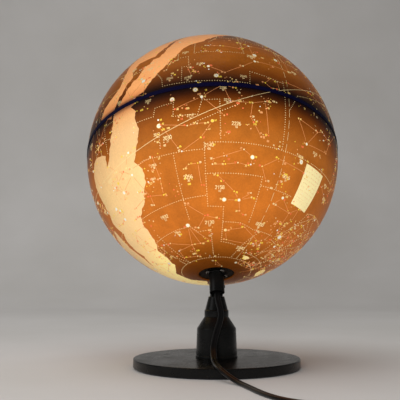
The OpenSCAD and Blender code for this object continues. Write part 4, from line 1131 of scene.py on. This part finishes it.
# Strokes of the numerals 0 to 9 on a grid two units wide and four high
NUMERALS = routes("""
0.5 0, 1.5 0, 2 0.6, 2 3.4, 1.5 4, 0.5 4, 0 3.4, 0 0.6, 0.45 0.1
0.4 3.2, 1.2 4, 1.2 0
0 3.2, 0.5 4, 1.5 4, 2 3.4, 2 2.6, 0 0.1, 2 0
0 3.5, 0.6 4, 1.5 4, 2 3.4, 2 2.7, 1.2 2.1, 2 1.5, 2 0.6, 1.5 0, 0.5 0, 0 0.5
1.6 0, 1.5 4, 0 1.3, 2 1.2
2 4, 0.2 4, 0 2.3, 1.4 2.4, 2 1.8, 2 0.6, 1.4 0, 0 0.2
1.8 3.8, 0.9 3.9, 0 2.8, 0 0.6, 0.5 0, 1.5 0, 2 0.6, 2 1.6, 1.4 2.2, 0.1 1.9
0 4, 2 4, 0.8 0
0.6 2.1, 0 1.5, 0 0.5, 0.5 0, 1.5 0, 2 0.5, 2 1.5, 1.4 2.1, 0.6 2.2, 0.1 2.7, 0.1 3.5, 0.6 4, \
1.4 4, 1.9 3.5, 1.9 2.7
0.2 0.2, 1.1 0, 2 1.2, 2 3.4, 1.5 4, 0.5 4, 0 3.4, 0 2.4, 0.6 1.8, 1.9 2.1
""")


def write(text, middle, height, tone, east, north):
    """Plain numerals along the parallel, shifted by millimetres to the east and north."""
    unit = height / 4
    left = -(len(text) * NUMERAL_PITCH - NUMERAL_GAP) / 2
    weight = height * (0.19 if height > 1.5 else 0.28)
    for place, sign in enumerate(text):
        line = [
            moved(middle, east + (left + place * NUMERAL_PITCH + x) * unit, north + (y - 2) * unit)
            for x, y in NUMERALS[int(sign)]
        ]
        ink(tone, middle).ribbon(line, weight, NUMERAL_TOP)


# The Milky Way, between edges given by galactic longitude, which runs down, and latitude


def wavy(longitude, size, phase):
    """Small unevenness of an edge, the same after a full turn."""
    out = 0
    for waves, share in ((47, 0.4), (83, 0.3), (131, 0.2), (197, 0.14)):
        out += share * math.sin(math.radians(waves * longitude) + phase * waves)
    return size * out


def edge(stops, longitude):
    """Latitude on a line through stops that run down in longitude."""
    for (l_a, b_a), (l_b, b_b) in zip(stops, stops[1:]):
        if l_a >= longitude >= l_b:
            return b_a + (b_b - b_a) * (l_a - longitude) / (l_a - l_b)
    return stops[-1][1]


EAST_EDGE, RIFT_EAST, RIFT_WEST, WEST_EDGE = routes("""
90 -14, 80 -15.5, 73 -13, 66 -14.4, 60.5 -14.6, 53.5 -14, 49.5 -13, 44 -12.7, 41.5 -11, 40 -9.7, \
36.5 -10.5, 35 -9, 33.5 -12.5, 29.5 -14, 26.5 -16.5, 23 -17.5, 18.5 -17, 14 -17.3, 12.2 -16, 11 -18.7, \
9.5 -20.7, 7 -21.6, 3.5 -21.6, -3 -20, -6 -19.3, -8 -17.8, -11.5 -15.6, -15 -15.4, -19 -16.5, -24 -17.4, \
-29 -15.5, -35 -17, -40 -17.3, -47.5 -12, -55 -14, -60 -19, -66 -13, -80 -12, -90 -9, -110 -8, -120 -9, \
-150 -9, -170 -7, -220 -7, -240 -10, -270 -14
90 -0.2, 79 -0.8, 74 -3, 69 -5, 65.5 -6.2, 62 -6.6, 60.5 -4.4, 57.5 -4.6, 55 -3.4, 53 -3.9, 50.5 -3.9, \
48.5 -3.5, 46.5 -2.6, 45 -2.7, 43.5 -1.6, 41 -1.9, 38.5 -1.9, 37 -1.5, 35.5 -1, 33 -0.5, 31 0, 28 -0.5, \
24 -1.8, 20.5 -1.2, 18 -1.8, 12.5 -1.6, 9 0, 0 1.5, -6 3, -12 5, -16.5 5.5, -19 3.3, -21 0, -25 1.5, \
-30 -0.6, -33.5 -3.3, -42 -2.8, -55 0, -270 -0.2
14 1, 9 0, 0 1.5, -6 3, -12 5, -12.1 9, -21 8, -24 5.7, -29.5 3.3, -31.5 1.1, -35 -1.4, -40 -2.3, \
-42 -2.8, -55 0, -270 -0.2, -279.5 1, -282.5 0.2, -289 -2.2, -292.5 -2.6, -297 -3, -298.5 -1.2, \
-300 0.7, -301.5 3.6, -304.5 3.4, -306.5 3.4, -308.5 1.2, -310 0, -312.5 -0.2, -313.5 1, -316 0.2, \
-319 0.9, -321 1.4, -323.5 1, -325.5 1.2, -330.5 1.4
14 4, 13 8.5, 12 10.2, 10 12.2, 5.5 13, 0 12.7, -5.5 8.9, -12 5, -12.1 9, -21 9, -22.5 9.8, -28 12, \
-33 13, -38 10, -41 9, -46 5, -52 4.7, -58 1.5, -66 4, -80 4, -90 3, -110 5, -140 6, -160 8, -190 6, \
-210 5, -220 8, -240 7, -270 9, -280 9, -288 12, -295 13.5, -300.5 12.5, -305.5 9.6, -310.5 6.6, \
-314 5.6, -317.5 5.6, -321.5 8.4, -325.5 10.6, -330.5 11
""")


def rift(longitude):
    """East and west side of the dark rift, which is closed where both are the same."""
    counted = longitude if longitude > -270 else longitude + 360
    east = edge(RIFT_EAST, counted)
    west = edge(RIFT_WEST, counted if counted <= 14 else counted - 360)
    rough = min(0.5, abs(west - east) / 4)
    return east + wavy(longitude, rough, 2.3), west + wavy(longitude, rough, 1.0)


def milky_way(side, first, last, cells):
    """One arm, from one galactic longitude down to another in steps of half a degree."""
    rows = []
    loop = first - last == 360
    least_width = 0.15
    for step in range(round(2 * (first - last)) + (not loop)):
        longitude = first - step / 2
        if side == "east":
            low, high = edge(EAST_EDGE, longitude) + wavy(longitude, 0.45, 0.3), rift(longitude)[0]
        else:
            low, high = rift(longitude)[1], edge(WEST_EDGE, longitude) + wavy(longitude, 0.4, 1.7)
        high = max(high, low + least_width)
        rows.append([
            turned(GALAXY_POLE, GALAXY_START, longitude, low + (high - low) * k / cells)
            for k in range(cells + 1)
        ])
    strip = Print()
    strip.sheet(rows, BAND_TOP, loop)
    strip.done(f"print_milky_way_painted_light_{side}", MILKY_WAY_WITH_PAINTED_LIGHT)


milky_way("east", 90, -270, 12)
milky_way("lobe", 14, -12, 9)
milky_way("west", -21, -330.5, 9)

# Clouds of the southern sky and the legend's panel


def blob(middle, wide, high, phase):
    """Uneven patch about a place, wide and high in millimetres."""
    rows = []
    for i in range(25):
        x = -1 + 2 * i / 24
        reach = math.sqrt(max(0.01, 1 - x * x)) * (1 + wavy(180 * x, 0.35, phase))
        shear = wavy(180 * x, 0.3, phase + 1)
        heights = [shear + reach * (k / 3 - 1) for k in range(7)]
        rows.append([moved(middle, x * wide, y * high) for y in heights])
    return rows


clouds = Print()
clouds.sheet(blob(sky(80, -69), 8.5, 5, 0.4), BAND_TOP)
clouds.sheet(blob(sky(13, -72.8), 3.8, 2, 1.1), BAND_TOP)
clouds.done("print_clouds", MILKY_WAY_WITH_PAINTED_LIGHT)

LEGEND_WEST, LEGEND_EAST = 13.7, 28.3
LEGEND_TOP, LEGEND_FOOT = -25.4, -42.9
LEGEND_COLUMNS = (15.4, 19.6, 23.6)
LEGEND_ROW_PITCH = 1.6
LEGEND_LINE_W = 0.34
panel_across = [LEGEND_WEST + (LEGEND_EAST - LEGEND_WEST) * i / 12 for i in range(13)]
panel_down = [LEGEND_TOP + (LEGEND_FOOT - LEGEND_TOP) * k / 14 for k in range(15)]
legend = Print()
legend.sheet([[sky(ascension, rise) for rise in panel_down] for ascension in panel_across], BAND_TOP)
legend.done("print_legend_painted_glow", LEGEND_PANEL_WITH_PAINTED_GLOW)
for row in range(9):
    height = LEGEND_TOP - 2.8 - row * LEGEND_ROW_PITCH
    for column, ascension in enumerate(LEGEND_COLUMNS):
        tone = "tan" if (2 * row + column) % 5 == 4 else "faint"
        dot(tone, sky(ascension + 0.3 * (row % 2), height), 0.62 - 0.04 * row, 8)
        start = sky(ascension + 1.2, height + 0.1)
        stop = sky(ascension + 2 + 0.45 * ((row + column) % 4), height)
        ink("faint", start).ribbon(great_arc(start, stop, 1.5), LEGEND_LINE_W, MARK_TOP)
for ascension, tone in ((16, "faint"), (18.5, "rose"), (21, "faint"), (22.5, "rose"), (26, "tan")):
    dot(tone, sky(ascension, LEGEND_TOP - 1.2), 0.5)

# Stars, their figures and their numbers

PALE = ("white", "white", "cream", "cyan", "yellow")
WARM = ("yellow", "line", "cream", "yellow", "rim", "red", "line", "cream", "white")
TEXT = ("line", "rim", "yellow", "red", "cream")
# Radius of a star that is brighter than a magnitude
STAR_SIZES = ((1, 1.8), (2, 1.5), (3, 1.1), (4, 0.85), (4.6, 0.7), (99, 0.58))
RIM_SHARE = 1.28
SEED = 5
picks = random.Random(SEED)


def star_radius(magnitude):
    return next(radius for limit, radius in STAR_SIZES if magnitude < limit)


def draw_figure(text):
    listed, chains = text.split("|")
    stars = numbers(listed)
    spots = [sky(ascension, height) for ascension, height, magnitude in stars]
    radii = [star_radius(magnitude) for ascension, height, magnitude in stars]
    for spot, radius, (ascension, height, magnitude) in zip(spots, radii, stars):
        tone = "white" if magnitude < 2 else picks.choice(PALE if magnitude < 3 else WARM)
        sides = 20 if radius > 1 else 10
        if magnitude < 3:
            dot("rim", spot, radius * RIM_SHARE, sides, LINE_TOP)
        dot(tone, spot, radius, sides)
        if height > -80:
            number = str(round(ascension * 4) % 90 + 10)
            away = picks.choice((-1, 1)) * (radius + 1.6)
            write(number, spot, STAR_NUMBER_H, picks.choice(TEXT), away, picks.uniform(-0.9, 0.9))
    for chain in chains.split("/"):
        stops = [int(v) for v in chain.split()]
        for a, b in zip(stops, stops[1:]):
            kept = [
                p for p in great_arc(spots[a], spots[b], LINE_STEP)
                if all(p.angle(spots[end]) > (radii[end] + 0.5) / GLOBE_R for end in (a, b))
            ]
            if len(kept) > 1:
                thin_line(kept, "figure", FIGURE_LINE_W)


for figure in FIGURES.split(";"):
    draw_figure(figure)


def faint_group(ascension, height, sizes, joined=False):
    """Loose group of small stars, mostly with a small number, and in a crowded sky with a line."""
    narrow = 1 / math.cos(math.radians(height))
    spots = []
    for k in range(picks.choice((1, 2, 3, 4, 6, 7))):
        spot = sky(ascension + picks.gauss(0, 1.6) * narrow, max(-80.5, height + picks.gauss(0, 1.6)))
        dot(picks.choice(WARM), spot, picks.choice(sizes))
        spots.append(spot)
    if picks.random() < 0.75 and height > -78:
        number = str(picks.choice((12, 27, 46, 83, 109, 274, 635)))
        write(number, sky(ascension, height), GROUP_NUMBER_H, picks.choice(TEXT), picks.uniform(1, 3), 0)
    if joined:
        for a, b in zip(spots, spots[1:]):
            thin_line(great_arc(a, b, LINE_STEP), "figure", CROWD_LINE_W)


ALL_SKY_GROUPS = 540
SOUTHERN_GROUPS = 48
for group in range(ALL_SKY_GROUPS):
    ascension = picks.uniform(0, 360)
    height = math.degrees(math.asin(picks.uniform(-0.975, 0.995)))
    faint_group(ascension, height, (0.4, 0.46, 0.54, 0.7))
for group in range(SOUTHERN_GROUPS):
    faint_group(picks.uniform(8, 75), picks.uniform(-76, -46), (0.32, 0.38, 0.46, 0.6), joined=True)

for ascension, height in RINGED:
    spot = sky(ascension, height)
    dot("rim", spot, 2.2, 20, BAND_TOP)
    dot("white", spot, 1.7, 20, LINE_TOP)
    dot("tan", spot, 0.5, 8)

# Borders, circles and labels

for route in routes(BORDERS):
    dotted(route)
for height in (-75, 75):
    dotted([(ascension, height) for ascension in range(0, 361, 30)])
for ascension in range(0, 360, 90):
    for low in range(-75, 75, 5):
        thin_line([sky(ascension, low + 0.9 * j) for j in range(5)], "cream", CIRCLE_LINE_W)
sun_pole = SUN_A.cross(SUN_B).normalized()
thin_line([turned(sun_pole, SUN_A, 1.25 * k, 0) for k in range(289)], "cream", SUN_LINE_W)
for labels, height in ((BIG_LABELS, BIG_LABEL_H), (SMALL_LABELS, SMALL_LABEL_H)):
    for ascension, rise in numbers(labels):
        spot = sky(ascension, rise)
        hours, minutes = divmod(round(ascension * 4), 60)
        write(f"{hours:02d}{minutes:02d}", spot, height, "cream", 0, height * 0.35)
        write(f"{abs(round(rise)):02d}", spot, height * 0.6, "cream", 0, -height * 0.75)

# One print and one material for each ink at each strength of painted lamp light
for (tone, light), drawn in prints.items():
    drawn.done(f"print_{tone}_{light}", ink_look(tone, light))

# Switch on the cord

SWITCH_PLACE = Matrix.Translation(SWITCH_MID)
ROCKER_L = 13.8
ROCKER_AXIS_Z = 10.4
ROCKER_SWING = 8.0
SPLIT = SWITCH_H / 2
GROOVE_PITCH = 1.7


def capsule_outline(length, width, steps=24):
    """Anticlockwise outline with straight sides and round ends."""
    out = []
    for side in (1, -1):
        for k in range(steps + 1):
            turn = -math.pi / 2 + math.pi * k / steps
            reach = side * (length - width) / 2
            out.append((reach + side * width / 2 * math.cos(turn), side * width / 2 * math.sin(turn)))
    return out


def box_outline(width, height, bend, steps=5):
    """Anticlockwise rounded rectangle about the origin."""
    out = []
    for quarter, (sx, sy) in enumerate(((1, 1), (-1, 1), (-1, -1), (1, -1))):
        for k in range(steps + 1):
            turn = math.pi / 2 * (quarter + k / steps)
            out.append((
                sx * (width / 2 - bend) + bend * math.cos(turn),
                sy * (height / 2 - bend) + bend * math.sin(turn),
            ))
    return out


def switch_half(name, node, levels, *boxes):
    """One half of the switch's case, with boxes cut out of it."""
    outline = capsule_outline(SWITCH_L, SWITCH_W)
    half = slab(name, outline, levels, "stand", "switch_black", [node], SWITCH_PLACE)
    for low, high in boxes:
        cut(half, low, high, SWITCH_PLACE)
    return half


mouth = ((-40, -CORD_W / 2 - 0.1, SPLIT - 1.5), (40, CORD_W / 2 + 0.1, SPLIT + 1.5))
window = ((-7.7, -4.3, 8), (7.7, 4.3, 15))
grooves = []
for side in (-1, 1):
    for k in range(5):
        x = side * (SWITCH_L / 2 - 3.6 - GROOVE_PITCH * k)
        grooves.append(((x - 0.35, -12, SWITCH_H - 0.45), (x + 0.35, 12, SWITCH_H + 1)))
case_low = switch_half(
    "switch_case_low", "switch_base", round_levels(0, SPLIT - 0.05, 1.8, 0.25),
    mouth, ((-19, -9.4, 1.6), (19, 9.4, 8)),
)
case_top = switch_half(
    "switch_case_top", "switch_cover", round_levels(SPLIT + 0.05, SWITCH_H, 0.25, 3.4, 8),
    mouth, ((-19, -9.4, 5), (19, 9.4, 11.4)), window, *grooves,
)

ROCKER_PLACE = (
    SWITCH_PLACE
    @ Matrix.Translation((0, 0, ROCKER_AXIS_Z))
    @ Matrix.Rotation(math.radians(ROCKER_SWING), 4, "Y")
    @ Matrix.Rotation(math.radians(90), 4, "X")
)
rocker_end = ROCKER_L / 2
rocker_top = SWITCH_H - ROCKER_AXIS_Z + 0.8
rocker_shape = [(-2.2, -1.6), (2.2, -1.6), (rocker_end - 0.4, 0.4), (rocker_end, rocker_top - 0.5)]
for k in range(13):
    x = (rocker_end - 0.4) * (1 - k / 6)
    rocker_shape.append((x, rocker_top - 0.6 + 0.6 * (x / rocker_end) ** 2))
rocker_shape += [(-rocker_end, rocker_top - 0.5), (-rocker_end + 0.4, 0.4)]
rocker = slab(
    "rocker_cap", rocker_shape, [(-4, 0.35), (-3.9, 0.12), (-3.65, 0), (3.65, 0), (3.9, 0.12), (4, 0.35)],
    "rocker", "rocker_black", ["switch_rocker"], ROCKER_PLACE,
)

# Plug

PLUG_PLACE = Matrix.Translation(PLUG_MOUTH) @ Matrix.Rotation(math.pi, 4, "Z")
PLUG_SLEEVE_L = 20.0
PLUG_L = 35.0
PLUG_W = 35.3
PLUG_T = 13.7
PIN_SPACE = 18.6
RIBS = 6
GRIP_PITCH = 2.2


def oval(width, height, power, x, steps=56):
    """Cross-section between an ellipse and a rounded box, facing along x."""
    out = []
    for k in range(steps):
        turn = 2 * math.pi * k / steps
        side, rise = math.cos(turn), math.sin(turn)
        y = math.copysign(abs(side) ** (2 / power), side) * width / 2
        z = math.copysign(abs(rise) ** (2 / power), rise) * height / 2
        out.append((x, y, z))
    return out


plug_rings = [oval(6.4, 5.6, 2, 0), oval(7.2, 6.6, 2, 0.35)]
for k in range(RIBS):
    start = 1.2 + k * (PLUG_SLEEVE_L - 3) / RIBS
    d = 7.4 + 2.6 * start / PLUG_SLEEVE_L
    for ahead, size in ((0, 1), (1.5, 1), (1.75, 0.84), (2.55, 0.84), (2.8, 1)):
        plug_rings.append(oval(d * size, d * size * 0.97, 2, start + ahead))
for ahead, width, height, power in (
    (0.2, 10.6, 10, 2), (1.6, 15.4, 11.4, 2.6), (3.5, 18.6, 12.3, 3.2), (7, 22.6, 13.2, 4),
    (11, 27.2, 13.6, 4.6), (15, 32, PLUG_T, 5), (17.5, 34.6, PLUG_T, 5.4), (20, PLUG_W, PLUG_T, 5.6),
    (33.6, PLUG_W, PLUG_T, 5.6), (34.5, 34.7, 13.1, 5.6), (PLUG_L, 33.4, 11.8, 5.6),
):
    plug_rings.append(oval(width, height, power, PLUG_SLEEVE_L + ahead))
plug = stacked("plug_grip", plug_rings, "stand", "plug_black", ["plug_body"], PLUG_PLACE, 40)
for side in (-1, 1):
    for k in range(6):
        x = PLUG_SLEEVE_L + 10 + GRIP_PITCH * k
        for z in (-PLUG_T / 2, PLUG_T / 2):
            cut(plug, (x - 0.4, side * 3, z - 0.4), (x + 0.4, side * 11, z + 0.4), PLUG_PLACE)

pin_line = [
    (0, -2), (1.7, -2), (1.7, 9.8), (2, 9.9), (2, 16.6), (1.9, 17.5), (1.55, 18.3), (0.95, 18.85), (0, 19),
]
sleeve_line = [(1.72, 0), (1.95, 0), (1.95, 9.5), (1.85, 9.8), (1.72, 9.8)]
pin_pieces = []
for i, side in ((1, -1), (2, 1)):
    foot = Matrix.Translation((PLUG_SLEEVE_L + PLUG_L, side * PIN_SPACE / 2, 0))
    at_pin = PLUG_PLACE @ foot @ Matrix.Rotation(math.pi / 2, 4, "Y")
    pin_pieces += [
        lathe(f"pin_{i}", pin_line, "stand", "nickel", [f"plug_pin_{i}"], at_pin, 40, 40),
        lathe(f"pin_sleeve_{i}", sleeve_line, "stand", "plug_black", (), at_pin, 40, 40),
    ]

# Tie around the coil

TIE_FOOT = 0.5
coil_inner = COIL_R - 2 * COIL_PITCH - CORD_T / 2
tie_wide = COIL_R + CORD_T / 2 - coil_inner + 0.6
tie_high = 11.4
tie_x = COIL_MID.x + coil_inner - 0.3 + tie_wide / 2
tie_place = (
    Matrix.Translation((tie_x, COIL_MID.y, TIE_FOOT + tie_high / 2))
    @ Matrix.Rotation(math.pi / 2, 4, "X")
)
tie = tunnel(
    "coil_strap", box_outline(tie_wide + 1, tie_high + 1, 2.4), box_outline(tie_wide, tie_high, 1.9),
    -2, 2, 0.15, "stand", "tie_black", ["coil_tie"], tie_place,
)

# The CAD nodes that stay get the material of their own slot
for part in frame["record"]["subparts"]:
    for slot in frame["nodes"][part["node"]].material_slots:
        slot.material = MATERIALS[part["material_slot"]]

# Pieces of the switch, in a list
switch_pieces = [case_low, case_top, rocker]
switch_pieces += [frame["nodes"][f"switch_screw_{i}"] for i in (1, 2)]

# Floor and backdrop: flat, then a quarter round, then upright

STAGE_HALF_W = 4000
STAGE_FRONT = -2500
STAGE_TOP = 3000
SWEEP_START = 900
SWEEP_R = 700
stage_line = [(STAGE_FRONT, 0), (SWEEP_START, 0)]
for k in range(1, 25):
    turn = math.pi / 2 * k / 24
    stage_line.append((SWEEP_START + SWEEP_R * math.sin(turn), SWEEP_R * (1 - math.cos(turn))))
stage_line.append((SWEEP_START + SWEEP_R, STAGE_TOP))
stage_points = [Vector((x, y, z)) * MM for y, z in stage_line for x in (-STAGE_HALF_W, STAGE_HALF_W)]
stage_faces = [(2 * i, 2 * i + 1, 2 * i + 3, 2 * i + 2) for i in range(len(stage_line) - 1)]
stage_mesh = bpy.data.meshes.new("sweep")
stage_mesh.from_pydata(stage_points, [], stage_faces)
stage_mesh.polygons.foreach_set("use_smooth", [True] * len(stage_faces))
floor_look = Look("floor", rough=0.75, specular=0.2)
floor_tones = [(0.3, colour(188, 185, 181)), (0.7, colour(196, 193, 190))]
floor_look.skin("Base Color", floor_look.ramp(floor_look.noise(4, 3), floor_tones))
stage_mesh.materials.append(floor_look.mat)
sweep = put("sweep", stage_mesh)

# Lights

STUDIO_STRENGTH = 0.28
STUDIO_MIRRORED = 0.25
world = bpy.data.worlds.new("studio")
bpy.context.scene.world = world
world.use_nodes = True
world_tree = world.node_tree
ray = world_tree.nodes.new("ShaderNodeLightPath")
walls = world_tree.nodes.new("ShaderNodeMix")
walls.data_type = "RGBA"
walls.inputs[6].default_value = (1, 1, 1, 1)
walls.inputs[7].default_value = (STUDIO_MIRRORED, STUDIO_MIRRORED, STUDIO_MIRRORED, 1)
world_tree.links.new(ray.outputs["Is Glossy Ray"], walls.inputs[0])
background = world_tree.nodes["Background"]
world_tree.links.new(walls.outputs[2], background.inputs["Color"])
background.inputs["Strength"].default_value = STUDIO_STRENGTH


def softbox(name, spot, aim, size, power, mirrored=True):
    """Rectangular light at spot, turned to aim, in metres and watts; some aren't mirrored in gloss."""
    data = bpy.data.lights.new(name, "AREA")
    data.shape = "RECTANGLE"
    data.size, data.size_y = size
    data.energy = power
    lamp = put(name, data)
    lamp.location = spot
    lamp.rotation_euler = (Vector(aim) - Vector(spot)).to_track_quat("-Z", "Y").to_euler()
    lamp.visible_glossy = mirrored
    lamp.visible_camera = False


softbox("top_soft", (-0.3, 0.1, 1.6), (0, 0, 0.1), (1.4, 1.2), 14, mirrored=False)
softbox("left_soft", (-1.3, -0.5, 0.7), (0, 0, 0.15), (0.8, 0.9), 2.2)
softbox("front_soft", (-0.35, -1.35, 0.34), (0, 0.04, 0.18), (0.5, 0.4), 13.5, mirrored=False)

# Camera

LENS = 64.83
SENSOR_W = 36
CAMERA_SPOT = Vector((-55.63, -671.17, 91.2))
PITCH = math.radians(5.36)
LEVEL = Vector((0.0600, 0.9982, 0)).normalized()
camera_data = bpy.data.cameras.new("camera")
camera_data.lens = LENS
camera_data.sensor_width = SENSOR_W
camera = put("camera", camera_data)
bpy.context.scene.camera = camera
camera.location = CAMERA_SPOT * MM
forward = LEVEL * math.cos(PITCH) + Vector((0, 0, math.sin(PITCH)))
camera.rotation_euler = forward.to_track_quat("-Z", "Y").to_euler()

view = bpy.context.scene.view_settings
view.view_transform = "Standard"

bpy.context.view_layer.update()
